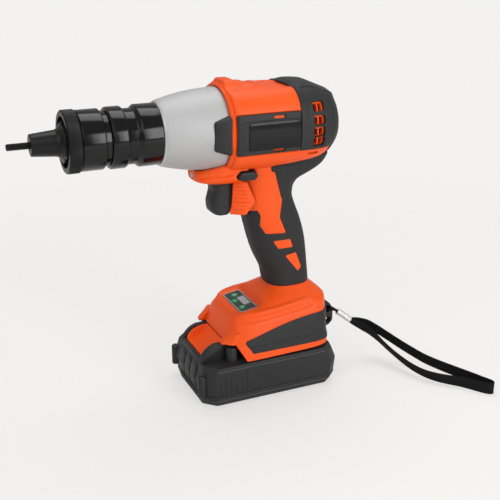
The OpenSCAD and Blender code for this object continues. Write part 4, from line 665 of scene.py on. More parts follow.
under_cap = step(cap_gap(x, z) + 0.9, 0.8)
under_panel = step(pane_gap(x, z, panel_middle, panel_size, 1.2) - 0.25, 0.5)
sunk = 2.0 * under_cap + 1.5 * under_panel
barrel = raised(barrel, band - sunk)
holes = pane_gap(x, z, (32, 192.4), (9.5, 2.1), 1.0)
for height in vent_heights:
    for side in (-2, 2):
        holes = np.minimum(holes, pane_gap(x, z, (vent_x + side, height - 0.7), (2.9, 5.8), 0.8))
front_turn = np.arctan2(barrel[0, :, 2] - axis_h, -barrel[0, :, 1])
front_ring = np.stack([0 * front_turn, -np.cos(front_turn), np.sin(front_turn)], 1)
front_rows = np.array([[at, 0, axis_h] + r * front_ring
                       for at, r in ((-28, 30.2), (-32.4, 30.2), (-32.8, 30.5))])
selector = [(-24.84, 178.9), (-22.36, 181.7), (-11.82, 181.7), (-9.34, 178.9), (-11.82, 175.5),
            (-22.36, 175.5)]
holes = np.minimum(holes, outline_gap(selector, x, z) - 1.2)
barrel_half = skin(np.concatenate([front_rows, barrel]),
                   np.vstack([np.full((3, 150), -9.0), -holes]), 2.4)

# Chin: the beak of the shells over the trigger, moulded with them and hollowed to clear the
# gear case. A crease runs along each side, and the work light looks out of its tip.
chin_share = np.array([1, 0.94, 0.78, 0.5, 0.1, -0.6, -1.2])
chin_x = np.concatenate([np.linspace(-52.34, -50, 10), np.linspace(-49.4, -17, 54)])
chin_at = -36 - 16.34 * chin_share
chin_wide, chin_top, chin_low = (eased(chin_x, chin_at, v, 1.2) for v in (
    [0.11, 0.16, 0.2, 0.25, 0.3, 0.335, 0.335], [0.93, 0.92, 0.88, 0.8, 0.7, 0.5, 0.4],
    [1.175, 1.205, 1.235, 1.265, 1.28, 1.29, 1.29]))
chin_rows = []
for at, w, high, low in zip(chin_x, chin_wide, chin_top, chin_low):
    half_h = barrel_keel * (low - high) / 2
    ring = np.stack([-2 * barrel_half_w * w * power(np.cos(barrel_turn), 2 / 3),
                     axis_h - barrel_keel * (high + low) / 2
                     + half_h * power(np.sin(barrel_turn), 2 / 3)], 1)
    chin_rows.append(np.insert(even(ring, 60), 0, at, axis=1))
chin = np.array(chin_rows)
chin_end = chin[0].mean(0) * [1, 0, 1]
chin = np.concatenate([[chin_end + (chin[0] - chin_end) * s for s in (0.02, 0.5, 0.85)], chin])
x, y, z = np.moveaxis(chin, 2, 0)
crease = np.abs(z - (176.9 + (x + 50) * 0.14)) - 0.5
chin = raised(chin, -1.1 * step(crease, 0.9) * step(np.abs(x + 38) - 13, 2))
case_clear = case_radius(np.interp(x, [case_front, case_front + case_l], [0, 1])) + 0.35
lens_drop = 1.07 * barrel_keel
lens_clear = 2.55 - np.hypot(y, z - (axis_h - lens_drop))
chin_keep = np.maximum(case_clear - np.hypot(y, z - axis_h), np.where(x < -52.2, lens_clear, -9))
chin_half = skin(chin, np.maximum(chin_keep, 1.2 - outline_gap(selector, x, z)), 2.0, 0.3)

# Handle core: the nylon of the shells under the grip. It shows through the windows in the rubber
# and lies a little below its face.
grip_deep, grip_half_w, handle_foot = 40.0, 18.5, 83.5
handle_level = np.array([0, 0.157, 0.27, 0.357, 0.443, 0.53, 0.617, 0.687, 0.757, 0.809, 0.845,
                         0.89, 0.945, 1])
handle_front = grip_deep * np.array([0.2, 0.112, -0.05, -0.14, -0.205, -0.27, -0.335, -0.38, -0.41,
                                     -0.43, -0.45, -0.475, -0.5, -0.52])
handle_rear = grip_deep * np.array([1.09, 1.045, 1.012, 0.982, 0.925, 0.845, 0.74, 0.67, 0.69, 0.8,
                                    1.07, 1.29, 1.38, 1.4])
handle_half_w = grip_half_w * np.array([0.92, 0.935, 0.96, 0.98, 1, 1.015, 1.03, 1.045, 1.07, 1.1,
                                        1.125, 1.145, 1.16, 1.16])
handle_square = np.array([2.5] * 9 + [2.6, 2.9, 3.3, 3.8, 4])
handle_z0, handle_z1 = 77.5, axis_h - 18.6
half_turn = np.radians(np.linspace(180, 0, 721))


def oval_rows(levels, front, rear, half_w, square, tilt, count):
    """Level sections of a form's left half, from its front edge round to its rear edge."""
    rows = []
    for h, a, b, w, q, lean in zip(levels, front, rear, half_w, square, tilt):
        at = a + (b - a) * (1 + power(np.cos(half_turn), 2 / q)) / 2
        ring = np.stack([at, -w * power(np.sin(half_turn), 2 / q),
                         h + lean * (at - (a + b) / 2)], 1)
        rows.append(even(ring, count))
    return np.array(rows)


handle_z = np.sort(np.concatenate([np.linspace(handle_z0, handle_z1, 96),
                                   np.linspace(146.2, 178.1, 40)]))
handle_at = handle_z0 + handle_level * (handle_z1 - handle_z0)
handle_sizes = [eased(handle_z, handle_at, v, 4)
                for v in (handle_front, handle_rear, handle_half_w, handle_square)]
handle = oval_rows(handle_z, *handle_sizes, np.zeros(len(handle_z)), 94)


def hull_of(points):
    """The convex outline round a few points."""
    p = sorted(map(tuple, points))

    def chain(run):
        out = []
        for q in run:
            while len(out) > 1 and ((out[-1][0] - out[-2][0]) * (q[1] - out[-2][1])
                                    - (out[-1][1] - out[-2][1]) * (q[0] - out[-2][0])) <= 0:
                out.pop()
            out.append(q)
        return out[:-1]
    return chain(p) + chain(p[::-1])


field_shares = [
    [[-1, 0.8], [0.02, 0.8], [0.06, 0.74], [-1, 0.66]],
    [[-1, 0.72], [0.12, 0.74], [0.3, 0.557], [-0.23, 0.557], [-0.3, 0.52], [-0.42, 0.5], [-1, 0.5]],
    [[-0.23, 0.57], [0.3, 0.57], [0.25, 0.451], [-0.07, 0.48]],
    [[-0.07, 0.5], [0.27, 0.5], [0.25, 0.451], [-0.07, 0.415]],
    [[-0.07, 0.44], [0.25, 0.46], [0.385, 0.362], [0.03, 0.366], [-0.07, 0.415]],
    [[0.2, 0.302], [0.5, 0.302], [0.55, 0.263], [0.29, 0.263]],
    [[0.465, 0.2], [0.64, 0.208], [0.765, 0.115], [0.715, 0.1]],
    [[-1, 0.83], [2, 0.83], [2, 1.2], [-1, 1.2]]]


def on_handle(shares):
    """Side-view points from shares of the grip's depth and of the height up to the axis."""
    return [(grip_deep * a, handle_foot + (axis_h - handle_foot) * b) for a, b in shares]


def fields_gap(x, z):
    """Distance from the orange fields of the handle, in side view."""
    gap = np.full(x.shape, 1e9)
    for patch in field_shares:
        gap = np.minimum(gap, outline_gap(hull_of(on_handle(patch)), x, z) - 0.7)
    return gap


guard = on_handle([(-0.62, 0.7), (-0.4, 0.7), (-0.235, 0.575), (-0.42, 0.505), (-0.66, 0.503),
                   (-0.64, 0.56)])
x, y, z = np.moveaxis(handle, 2, 0)
trigger_way = np.maximum(np.maximum(np.abs(y) - 10.6, np.abs(z - 159.4) - 13.5), x + 2)
frame_line = step(np.abs(outline_gap(guard, x, z) - 1.3) - 0.3, 0.9)
core_sunk = 0.35 + 1.5 * step(-fields_gap(x, z) + 1.0, 1.0) + 0.6 * frame_line
core = raised(handle, -core_sunk, -1)
core_keep = np.maximum(np.maximum(-trigger_way, z - 191), 1.2 - outline_gap(selector, x, z))
handle_half = skin(core, core_keep, 1.8, out=-1)

# Guard: the ribbed cheek behind the trigger, moulded in one with the shells, with a frame line
# along its rear edge.
gx, gz = np.meshgrid(np.linspace(-27.5, -8.5, 70), np.linspace(146.5, 174, 130))
guard_gap = outline_gap(guard, gx, gz)
rib = np.abs(np.sin(math.pi * (gz - 147.8) / 3.05))
rib_field = [(-30, 175), (-19.4, 175), (-12.6, 157.2), (-18.6, 150), (-30, 150)]
on_ribs = step(outline_gap(rib_field, gx, gz) + 0.5, 1)
guard_y = 18.2 + 0.95 * np.sqrt(rib) * on_ribs + 0.5 * (1 - on_ribs)
guard_y = guard_y - 6.4 * np.clip((-14 - gx) / 12, 0, 1) ** 2
guard_half = skin(np.stack([gx, -guard_y, gz], 2), guard_gap - 0.3, 0.9, 0.4, out=-1)

# Foot: the shoulder under the handle, moulded with the shells, with a flat deck for the control
# panel and a cut-away front over the battery's latch.
foot_z, pack_l = 35.6, 118.0
foot_level = foot_z + 33.4 * np.array([0, 0.31, 0.6, 0.85, 1, 1.06, 1.135, 1.225, 1.31, 1.38, 1.45])
foot_front = pack_l * np.array([-0.332, -0.315, -0.291, -0.266, -0.246, -0.225, -0.15, -0.065, 0,
                                0.045, 0.07])
foot_rear = pack_l * np.array([0.435, 0.452, 0.458, 0.458, 0.455, 0.448, 0.436, 0.415, 0.392,
                               0.372, 0.355])
foot_wide = 36.5 * np.array([1, 0.967, 0.926, 0.877, 0.835, 0.8, 0.735, 0.655, 0.57, 0.5, 0.44])
foot_square = np.array([6, 6, 5.5, 5, 4.6, 4.2, 3.6, 3.2, 2.8, 2.6, 2.5])
foot_tilt = np.array([0.02, 0.03, 0.045, 0.06, 0.065, 0.06, 0.05, 0.03, 0.015, 0, 0])


def foot_grid(levels, proud, count):
    """Level sections of the foot's left half, with its rear corners drawn in behind the lug."""
    front, rear, wide, square, tilt = (eased(levels, foot_level, v, 1.5) for v in (
        foot_front, foot_rear, foot_wide, foot_square, foot_tilt))
    rows = oval_rows(levels, front - proud, rear + proud, wide + proud, square, tilt, count)
    x, y, z = np.moveaxis(rows, 2, 0)
    back, aside = 0.874, 0.486
    corner = np.maximum(back * x + aside * np.abs(y) - 52 - 1.36 * proud, 0)
    drawn_in = 0.67 * corner ** 2 / (corner + 2.5) * step(45 - z, 12)
    return rows - np.stack([back * drawn_in, aside * np.sign(y) * drawn_in, 0 * z], 2)


deck_middle, deck_lean = np.array([-14.16, 0, 70.3]), math.radians(10)
deck_u = np.array([math.cos(deck_lean), 0, math.sin(deck_lean)])
deck_n = np.array([-math.sin(deck_lean), 0, math.cos(deck_lean)])
foot = foot_grid(np.linspace(foot_z, 84, 80), 0, 126)
u, h = (foot - deck_middle) @ deck_u, (foot - deck_middle) @ deck_n
flat = step(pane_gap(u, foot[..., 1], (0, 0), (17.6, 40.4), 3) - 1, 4) * (h > -6)
foot = foot - deck_n * ((h + 0.3) * flat)[..., None]
x, y, z = np.moveaxis(foot, 2, 0)
below = z - np.interp(x, [-27.7, -13.4, 6.1, 35], [68.7, 69.8, 71.5, 74.6])
ridge = 1.4 * np.exp(-(below / 1.3) ** 2) - 1.2 * np.exp(-((below + 3.8) / 2) ** 2)
foot = raised(foot, ridge * step(20 - np.abs(y), 6) * step(np.abs(x - 5) - 31, 5), -1)
notch = outline_gap([(-118, 48.4), (-31.03, 48.4), (-23, 34.6), (-118, 34.6)], x, z)
well = np.where(h > -3, pane_gap(u, y, (0, 0), (12.6, 32), 1), 9)
foot_half = skin(foot, np.maximum(-notch, -well), 2.6, 0.3, out=-1)


def inset(outline, gap):
    """An outline moved inwards by a gap."""
    p = np.array(outline, float)
    ahead = np.roll(p, -1, 0) - p
    ahead /= np.linalg.norm(ahead, axis=1)[:, None]
    side = np.stack([-ahead[:, 1], ahead[:, 0]], 1)
    area = np.sum(p[:, 0] * np.roll(p[:, 1], -1) - np.roll(p[:, 0], -1) * p[:, 1])
    both = side + np.roll(side, 1, 0)
    both /= np.maximum((both ** 2).sum(1) / 2, 0.4)[:, None]
    return p + both * gap * np.sign(area)


def slab(outline, y0, y1, edge=0.6, corner=0.8):
    """A side-view outline carried across the tool, with rounded corners and edges."""
    shape = rounded(outline, corner, lathe=False)
    rings = []
    for t in (0, 0.3, 1):
        d = edge * (1 - math.sqrt(1 - (1 - t) ** 2))
        rings.append((y0 + edge * t, inset(shape, d)))
    rings += [(y0 + y1 - y, ring) for y, ring in rings[::-1]]
    return lofted([np.insert(ring, 1, y, axis=1) for y, ring in rings])


gusset_in = np.array([(-40.9, 48.5), (-40.4, 50.4), (-32, 57.6), (-27.5, 57.6), (-27.5, 48.5)])
gusset_out = np.array([(-34, 48.5), (-33.6, 50), (-30.6, 57), (-27.5, 57), (-27.5, 48.5)])
gusset_rows = [np.insert(rounded(shape, 0.8, lathe=False), 1, at, axis=1)
               for at, shape in ((-21.2, inset(gusset_in, 0.6)), (-21.8, gusset_in),
                                 (-25.4, gusset_in), (-26.4, inset(gusset_in, 0.3)),
                                 (-31, gusset_out))]
gusset_half = lofted(gusset_rows)
lug_side = [(49.56, 34.6), (65.6, 34.6), (69.6, 38.6), (69.6, 50), (65.6, 55.6), (60, 58),
            (49.56, 58)]
web_slab = slab(lug_side, 5.6, 8.6, 0.6, 1.5)


def moulded(name, low, high, rough, grain, depth):
    """Moulded plastic or rubber: a spark-eroded grain, with slow drifts of tone and gloss."""
    made, shader, place = finish(name, {"Base Color": low, "Roughness": rough, "IOR": 1.5,
                                        "Specular IOR Level": 0.25})
    drift = place.noise(22, 3)
    fine = place.add("ShaderNodeTexVoronoi", {"feature": "F1"}, {"Vector": place, "Scale": grain})
    dust = place.noise(grain * 0.6, 2)
    feed(shader, Base_Color=(drift * 0.7 + dust * 0.3).blend(low, high),
         Roughness=drift * 0.14 + dust * 0.1 + (rough - 0.12),
         Normal=fine.bump(depth, 0.0002))
    return made


orange = moulded("orange_nylon", (0.79, 0.073, 0.005), (0.89, 0.1, 0.009), 0.42, 2200, 0.12)
charcoal = moulded("charcoal_nylon", (0.019, 0.019, 0.0195), (0.027, 0.027, 0.0275),
                   0.5, 2000, 0.22)
shell_half = joined(barrel_half, chin_half, handle_half, guard_half, foot_half, gusset_half)
for side, part in (("left", shell_half), ("right", joined(other_side(shell_half), web_slab))):
    fit(mesh_piece("shell_" + side, *part, orange, 32), "housing", "orange_shell",
        "housing_" + side)

# Rear cap: a charcoal nylon cup over the fan, screwed to the barrel from behind. Four windows on
# each side show the orange comb of the air outlet under it.
cap_x = np.concatenate([np.linspace(19.4, 56, 62), np.linspace(56.3, 57, 3)])
cap = barrel_grid(cap_x, 0.8, 150)
cap_back = [[at, 0, axis_h] + (cap[-1] - [57, 0, axis_h]) * [0, s, s]
            for at, s in ((57.5, 0.95), (57.8, 0.86), (57.8, 0.45), (57.8, 0.02))]
cap = np.concatenate([cap, cap_back])
x, y, z = np.moveaxis(cap, 2, 0)
shoulder = np.abs(y) - np.interp(x, [26, 41.5, 55], [20, 18, 16])
crowned = (1.0 * step(shoulder, 1.6) - 0.5) * step(np.abs(x - 40) - 15, 4) * step(axis_h + 9 - z, 8)
bevel = np.interp(x, [19.4, 23.8, 36], [-2.4, -0.2, 0]) * step(np.abs(y) - 18, 5) * (z > axis_h)
cap = raised(cap, crowned + bevel)
windows = np.min([pane_gap(x, z, (vent_x, height), (9.4, 7), 1) for height in vent_heights], axis=0)
cap_screw_y, cap_screw_z = 15.18, 207.9
heads = np.where(x > 55, np.hypot(np.abs(y) - cap_screw_y, z - cap_screw_z) - 3.1, 9)
handle_in = 1 - (np.abs(x - 17.6) / 38.2) ** 3.8 - (np.abs(y) / 21.7) ** 3.8
cap_keep = np.maximum.reduce([cap_gap(x, z) + 0.2, -windows, -heads,
                              np.where(z < 192.5, handle_in * 20, -9)])
cap_half = skin(cap, cap_keep, 2.3, 0.45)
fit(mesh_piece("motor_cap", *joined(cap_half, other_side(cap_half)), charcoal, 32),
    "housing", "black_shell", "rear_cap")
# A charcoal sheet deep inside the barrel, behind the slots of the air outlet: painted shade, a dark
# backing that stands for the shade inside seen through them.
shade_sheet = barrel_grid(np.linspace(25, 46, 20), -9, 40)
shade_sheet_half = skin(shade_sheet, None, 1.5)
fit(mesh_piece("fan_shroud", *joined(shade_sheet_half, other_side(shade_sheet_half)), charcoal),
    "housing", "black_shell")

# Side panels: charcoal plates set flush in both sides of the barrel, each with two orange
# windows. The left one carries a plain gloss black plate.
panel_x = np.linspace(-30.4, 20.2, 110)
panel = barrel_grid(panel_x, 0.35, 200)
x, y, z = np.moveaxis(panel, 2, 0)
panel_slots = np.minimum(pane_gap(x, z, (3, 222.7), (9.6, 2.3), 1.1),
                         pane_gap(x, z, (3, 198.9), (9.6, 2.3), 1.1))
panel_edge = pane_gap(x, z, panel_middle, panel_size, 1.4)
panel_well = step(pane_gap(x, z, (-3.5, axis_h - 1.5), (44, 22.5), 1), 0.6)
panel = raised(panel, -0.5 * panel_well)
panel_half = skin(panel, np.maximum(panel_edge, -panel_slots), 1.5, 0.3)
fit_pair("side_plate_", panel_half, charcoal, 32, "black_shell", "side_panel_")
plate_x = np.linspace(-21.2, 20.2, 70)
plate = barrel_grid(plate_x, 0.75, 200)
x, _, z = np.moveaxis(plate, 2, 0)
plate_gloss, shader, place = finish("gloss_label", {
    "Base Color": (0.006, 0.006, 0.006), "Roughness": 0.1, "Specular IOR Level": 0.22})
smear = place.noise(60, 4)
feed(shader, Base_Color=smear.blend((0.005, 0.005, 0.005), (0.011, 0.011, 0.012)),
     Roughness=smear * 0.12 + 0.06)
fit(mesh_piece("gloss_plate",
               *skin(plate, pane_gap(x, z, (-0.55, axis_h - 1.5), (40.7, 19.9), 1.6), 1.4, 0.35),
               plate_gloss, 32), "housing", "label_gloss", "label_plate")

# Wedge pads: charcoal nylon blocks clipped in the barrel's front rim, one on each side, whose
# sloping faces lie over the gear case.
pad_rows = []
for at, half_h, out_y, edge in ((-45.2, 10, 30.4, 0.8), (-44.7, 10.3, 30.9, 0.2),
                                (-43.8, 10.7, 31.3, 0), (-34.1, 13.9, 32.6, 0),
                                (-33.1, 14.2, 32.7, 0.2)):
    half_h, out_y = half_h - edge, out_y - edge
    ring = rounded([[out_y, axis_h - half_h + 1.6], [out_y, axis_h + half_h - 1.6],
                    [out_y - 2.6, axis_h + half_h], [23, axis_h + half_h], [23, axis_h - half_h],
                    [out_y - 2.6, axis_h - half_h]], 0.9)
    pad_rows.append(np.stack([np.full(len(ring), at), -ring[:, 0], ring[:, 1]], 1))
fit_pair("wedge_block_", lofted(pad_rows), charcoal, 28, "black_shell", "wedge_pad_")

# Grip: soft rubber moulded over the handle's core in two halves, with rolled edges round the
# orange fields and shallow finger creases.
rubber = moulded("grip_rubber", (0.018, 0.018, 0.0185), (0.026, 0.026, 0.0265), 0.62, 1500, 0.3)
x, y, z = np.moveaxis(handle, 2, 0)
creases = np.zeros(x.shape)
for line, depth in (([(-7.5, 121.5), (11, 102)], 0.45), ([(24, 130), (30.5, 116)], 0.35),
                    ([(-9, 95.6), (11, 94)], 0.4), ([(-16, 147), (-9, 136)], 0.3)):
    creases += depth * step(np.abs(outline_gap(line, x, z)) - 0.25, 1.0)
grip_wall = raised(handle, -creases, -1)
near_w, near_d, near_q = (eased(x, barrel_at, v, 2.2)
                          for v in (barrel_wide, barrel_deep, barrel_square))
in_barrel = (1 - (np.abs(y) / (barrel_half_w * near_w + 0.3)) ** near_q
             - (np.abs(z - axis_h) / (barrel_keel * near_d + 0.3)) ** near_q)
tang_edge = [3.2, 48.4, 58], [183.9, 188.2, 189.2]
tang_line = np.where(z > 180, z - np.interp(x, *tang_edge), -9)
foot_mid, foot_half_l, foot_half_w = (eased(z, foot_level, v, 1.5) for v in (
    (foot_front + foot_rear) / 2, (foot_rear - foot_front) / 2, foot_wide))
in_foot = 1 - (np.abs(x - foot_mid) / foot_half_l) ** 2.6 - (np.abs(y) / foot_half_w) ** 2.6
grip_keep = np.maximum.reduce([0.2 - fields_gap(x, z), in_barrel * 12,
                               np.where(z < 92, in_foot * 8, -9), handle_foot - z, tang_line,
                               0.2 - outline_gap(guard, x, z), -trigger_way])
tang = barrel_grid(np.linspace(1.8, 48.4, 90), 0.55, 150)
x, _, z = np.moveaxis(tang, 2, 0)
tang_keep = np.maximum.reduce([z - np.interp(x, *tang_edge), 2.9 - x, x - 47.6])
grip_half = joined(skin(grip_wall, grip_keep, 2.0, 0.55, out=-1), skin(tang, tang_keep, 1.2, 0.45))
fit_pair("rubber_", grip_half, rubber, 40, "grip_rubber", "grip_")

# Trigger: a charcoal nylon finger piece with a hollow front, moulded on a stem that slides
# between the shells and runs to the switch.
trigger_z = np.concatenate([[146.47, 146.6], np.linspace(147, 171.8, 34), [172.15, 172.24]])
trigger_end = np.minimum(1, np.minimum(trigger_z - 146.45, 172.26 - trigger_z) / 0.9)
trigger_front = eased(trigger_z, [146.45, 147, 148.4, 150.4, 152.4, 156.3, 164.5, 170.5, 172.25],
                      [-36.2, -37.5, -38.9, -39.6, -39.9, -40, -37.6, -38.2, -38.4], 0.7)
trigger_rear = eased(trigger_z, [146.45, 151.6, 172.25], [-25.7, -21, -21], 1)
trigger_turn = full_turn(64)
trigger_rows = []
for at, a, b, s in zip(trigger_z, trigger_front, trigger_rear,
                       np.sqrt(np.clip(trigger_end, 0.02, 1))):
    c, e = power(np.cos(trigger_turn), 2 / 3.4), power(np.sin(trigger_turn), 2 / 3.4)
    trigger_rows.append(np.stack([(a + b) / 2 + (b - a) / 2 * c * (0.92 + 0.08 * s),
                                  -10 * e * (0.9 + 0.1 * s), np.full(64, at)], 1))
stem = slab([(-22, 155.3), (-7.5, 155.3), (-7.5, 169.6), (-22, 169.6)], -5, 5, 0.4, 0.5)
fit(mesh_piece("finger_trigger", *joined(lofted(trigger_rows), stem), charcoal, 35),
    "trigger", "black_shell", "trigger")

# Direction selector: a charcoal nylon bar that slides right through the housing, above the
# trigger, with lozenge ends to push and a lip on each for the finger.
selector_bar = slab(selector, -25.1, 25.1, 0.9, 0.8)
selector_lip = [slab([(-20.4, 178.1), (-13.6, 178.1), (-13.6, 179.5), (-20.4, 179.5)],
                     *side, 0.25, 0.5)
                for side in ((-25.45, -24.8), (24.8, 25.45))]
fit(mesh_piece("direction_bar", *joined(selector_bar, *selector_lip), charcoal, 30),
    "selector", "black_shell", "direction_selector")

# Work light: a clear acrylic lens, moulded with fine rings, over a lamp in the chin's tip. It is
# clamped between the shells.
lens_outline = np.array([[0, -52.7], [0.8, -52.66], [1.6, -52.5], [2.2, -52.2], [2.4, -51.8],
                         [2.4, -47.2], [0, -47.2]])
lens_corners, lens_faces = turned(lens_outline, 32)
lens_clear_finish, shader, place = finish("clear_lens", {
    "Base Color": (0.75, 0.8, 0.84), "Roughness": 0.08, "Coat Weight": 0.8, "Coat Roughness": 0.03})
lens_middle = place.add("ShaderNodeMapping", inputs={
    "Vector": place, "Location": (0, 0, (lens_drop - axis_h) * mm)})
rings = place.add("ShaderNodeTexWave", {"wave_type": "RINGS", "rings_direction": "X"}, {
    "Vector": lens_middle, "Scale": 260, "Distortion": 0.4})
feed(shader, Base_Color=rings.blend((0.16, 0.18, 0.19), (0.5, 0.53, 0.55)))
fit(mesh_piece("lamp_lens", lens_corners - [0, 0, lens_drop], lens_faces, lens_clear_finish, 30),
    "housing", "lens_clear", "work_light")

# Control panel: a dark printed face plate set in the foot's deck, with a pale border, a grey
# liquid crystal window and three green silicone keys that press straight down.
def deck_grid(size, height, gap):
    """Places on the deck in its own two directions, and the same places in space."""
    u, v = np.meshgrid(np.arange(-size[0] / 2, size[0] / 2 + gap / 2, gap),
                       np.arange(-size[1] / 2, size[1] / 2 + gap / 2, gap), indexing="ij")
    across = np.array([0, 1.0, 0])
    return u, v, deck_middle + u[..., None] * deck_u + v[..., None] * across + height * deck_n


def inlaid(name, base, marks, materials):
    """A piece of two finishes, the second for what is printed or set on the first."""
    return mesh_piece(name, *joined(base, marks), materials, 35,
                      [0] * len(base[1]) + [1] * len(marks[1]))


def stood(outline, middle, along=(0, 0, 1), across=(1, 0, 0), steps=48, ripple=None):
    """A closed [radius, height] outline turned about an axis through any place."""
    corners, faces = turned(np.asarray(outline, float), steps, ripple)
    axes = np.array([along, across, np.cross(along, across)], float)
    return middle + (corners - [0, 0, axis_h]) @ axes, faces


key_places = {"power": (0.29, 11.55), "less": (-3.48, 2.1), "more": (-2.9, -11.55)}
screen_middle, screen_size = (2.9, -0.7), (5.9, 15.6)
u, v, face = deck_grid((15.4, 38.8), 0, 0.2)
plate_gap = pane_gap(u, v, (0, 0), (15.1, 38.4), 2.2)
openings = pane_gap(u, v, screen_middle, screen_size, 0.6)
for a, b in key_places.values():
    openings = np.minimum(openings, np.hypot(u - a, v - b) - 3.15)
panel_dark = moulded("panel_print", (0.035, 0.042, 0.042), (0.05, 0.057, 0.057), 0.4, 2600, 0.05)
print_grey = moulded("pale_print", (0.36, 0.38, 0.38), (0.46, 0.48, 0.48), 0.45, 2600, 0.04)
panel_part = skin(face, np.maximum(plate_gap, -openings), 1.5, 0.25)
border_part = skin(face + 0.05 * deck_n, np.abs(plate_gap + 0.7) - 0.32, 0.3)
fit(inlaid("face_plate", panel_part, border_part, [panel_dark, print_grey]),
    "housing", "panel_face", "control_panel")

screen_grey, shader, place = finish("liquid_crystal", {
    "Base Color": (0.4, 0.41, 0.4), "Roughness": 0.25, "Coat Weight": 0.4, "Coat Roughness": 0.08})
across = place.part(1)
bars = across.math("SINE", across * 1500) > 0.45
haze = place.noise(260, 3)
feed(shader, Base_Color=(bars * 0.35 + haze * 0.65).blend((0.46, 0.47, 0.46), (0.26, 0.27, 0.265)))
u, v, face = deck_grid((14.9, 35.4), -0.12, 0.2)
fit(mesh_piece("crystal_window",
               *skin(face, pane_gap(u, v, screen_middle, screen_size, 0.6) + 0.12, 0.9, 0.12),
               screen_grey, 35), "housing", "display_grey", "display_window")

key_green = moulded("green_silicone", (0.012, 0.2, 0.07), (0.02, 0.27, 0.1), 0.5, 2400, 0.1)
key_white = moulded("white_print", (0.6, 0.62, 0.6), (0.75, 0.77, 0.75), 0.5, 2600, 0.04)
u, v, face = deck_grid((4.6, 4.6), 0.5, 0.1)
bar_across = pane_gap(u, v, (0, 0), (0.5, 2.6), 0.1)
bar_along = pane_gap(u, v, (0, 0), (2.6, 0.5), 0.1)
ring = np.maximum(np.abs(np.hypot(u, v) - 1.15) - 0.22, 0.5 - np.hypot(u - 1.15, v))
key_marks = {"power": np.minimum(ring, pane_gap(u, v, (0.85, 0), (1.2, 0.42), 0.1)),
             "less": bar_across, "more": np.minimum(bar_across, bar_along)}
for name, (a, b) in key_places.items():
    shift = a * deck_u + np.array([0, b, 0])
    cap_part = stood([[0, -2.7], [3, -2.7], [3, 0.15], [2.92, 0.36], [2.6, 0.46], [0, 0.5]],
                     deck_middle + shift, deck_n, deck_u)
    mark_part = skin(face + shift, key_marks[name], 0.14)
    fit(inlaid("key_" + name, cap_part, mark_part, [key_green, key_white]), name + "_key",
        "button_green", "button_" + name)

# Foot bumpers: charcoal nylon strips let into both sides of the foot, stepped along the lower
# third and wrapped round the rear corner.
reach = np.linspace(0, 1, 16)
bumper_side = [(-22.8 + 68.2 * a, 51.2 + 12.8 * math.sin(math.pi / 2 * a)) for a in reach]
bumper_side = rounded([(-24, 49.6), *bumper_side, (60, 64), (60, 40.2), (-18.4, 40.2)], 1.6,
                      lathe=False)
bumper = foot_grid(np.linspace(38.6, 66, 80), 0.6, 240)
x, y, z = np.moveaxis(bumper, 2, 0)
bumper = raised(bumper, 0.65 * step(46.6 + 0.03 * x - z, 0.7) - 0.5, -1)
bumper_half = skin(bumper, outline_gap(bumper_side, x, z), 2.0, 0.5, out=-1)
fit_pair("bumper_", bumper_half, charcoal, 35, "black_shell", "foot_bumper_")

# Strap lug: a charcoal nylon tongue at the back of the foot, clamped between the shells, with two
# eyes, the upper one for the cord.
gx, gz = np.meshgrid(np.linspace(49.2, 70, 105), np.linspace(34.2, 58.4, 122), indexing="ij")
lug_shape = rounded(lug_side, 2.0, lathe=False)
eyes = np.minimum(np.hypot(gx - 64.22, gz - 49.58), np.hypot(gx - 64.22, gz - 39.75)) - 3
lug_part = skin(np.stack([gx, np.full(gx.shape, -2.4), gz], 2),
                np.maximum(outline_gap(lug_shape, gx, gz), -eyes), 4.8, 0.6)
fit(mesh_piece("lug_tongue", *lug_part, charcoal, 35), "housing", "black_shell", "strap_lug")

# Battery: a slide-on pack in two charcoal nylon cases, screwed together from below. The upper one
# has the rails' tower, two end stops and the fenders beside the latch; the front has pillars for
# its screws and raised panels, and the sides are ribbed near the front.
def pack_ring(z, front, rear, width):
    x0, x1, y1, cut = -59.944 * front, 58.056 * rear, 38 * width, 8.968
    ring = [(x0, cut - y1), (x0 + cut, -y1), (x1 - cut, -y1), (x1, cut - y1),
            (x1, y1 - cut), (x1 - cut, y1), (x0 + cut, y1), (x0, y1 - cut)]
    return np.insert(rounded(ring, 1.6, 4, lathe=False), 2, z, axis=1)


def pack_walls(heights, at, front, rear, width):
    shares = [eased(heights, at, v, 0.7) for v in (front, rear, width)]
    return lofted([pack_ring(z, *three) for z, *three in zip(heights, *shares)])


low_part = pack_walls(np.concatenate([[0, 0.12, 0.35], np.linspace(0.8, 9.1, 14), [9.35, 9.5]]),
                      [0, 0.35, 6.8, 9.1, 9.5], [0.938, 0.946, 0.968, 0.97, 0.964],
                      [0.953, 0.961, 0.978, 0.98, 0.974], [0.858, 0.872, 1, 1, 0.992])
top_walls, top_faces = pack_walls(
    np.concatenate([[9.86, 10], np.linspace(10.3, 33.4, 34), [33.8, 34]]),
    [9.86, 10.3, 20, 29.9, 33.6, 34], [0.964, 0.971, 1, 0.96, 0.944, 0.936],
    [0.974, 0.981, 1, 0.93, 0.898, 0.89], [0.992, 1, 1, 1, 0.986, 0.98])
gx, gy = np.meshgrid(np.linspace(-57, 54, 140), np.linspace(-38, 38, 96), indexing="ij")
deck_edge = pack_ring(34, 0.937, 0.891, 0.981)[:, :2]
pocket = pane_gap(gx, gy, (-43.7, 0), (21.4, 36.2), 0.5)
top_deck = skin(np.stack([gx, gy, np.full(gx.shape, 33.98)], 2),
                np.maximum(outline_gap(deck_edge, gx, gy), -pocket), 7.4, 0.0)
fender = [(-57.2, 32.6), (-56.9, 34.6), (-56, 37.6), (-54.4, 40.6), (-51.9, 43.4), (-48.6, 45.9),
          (-44.3, 47.6), (-34.2, 47.6), (-34.2, 32.6)]
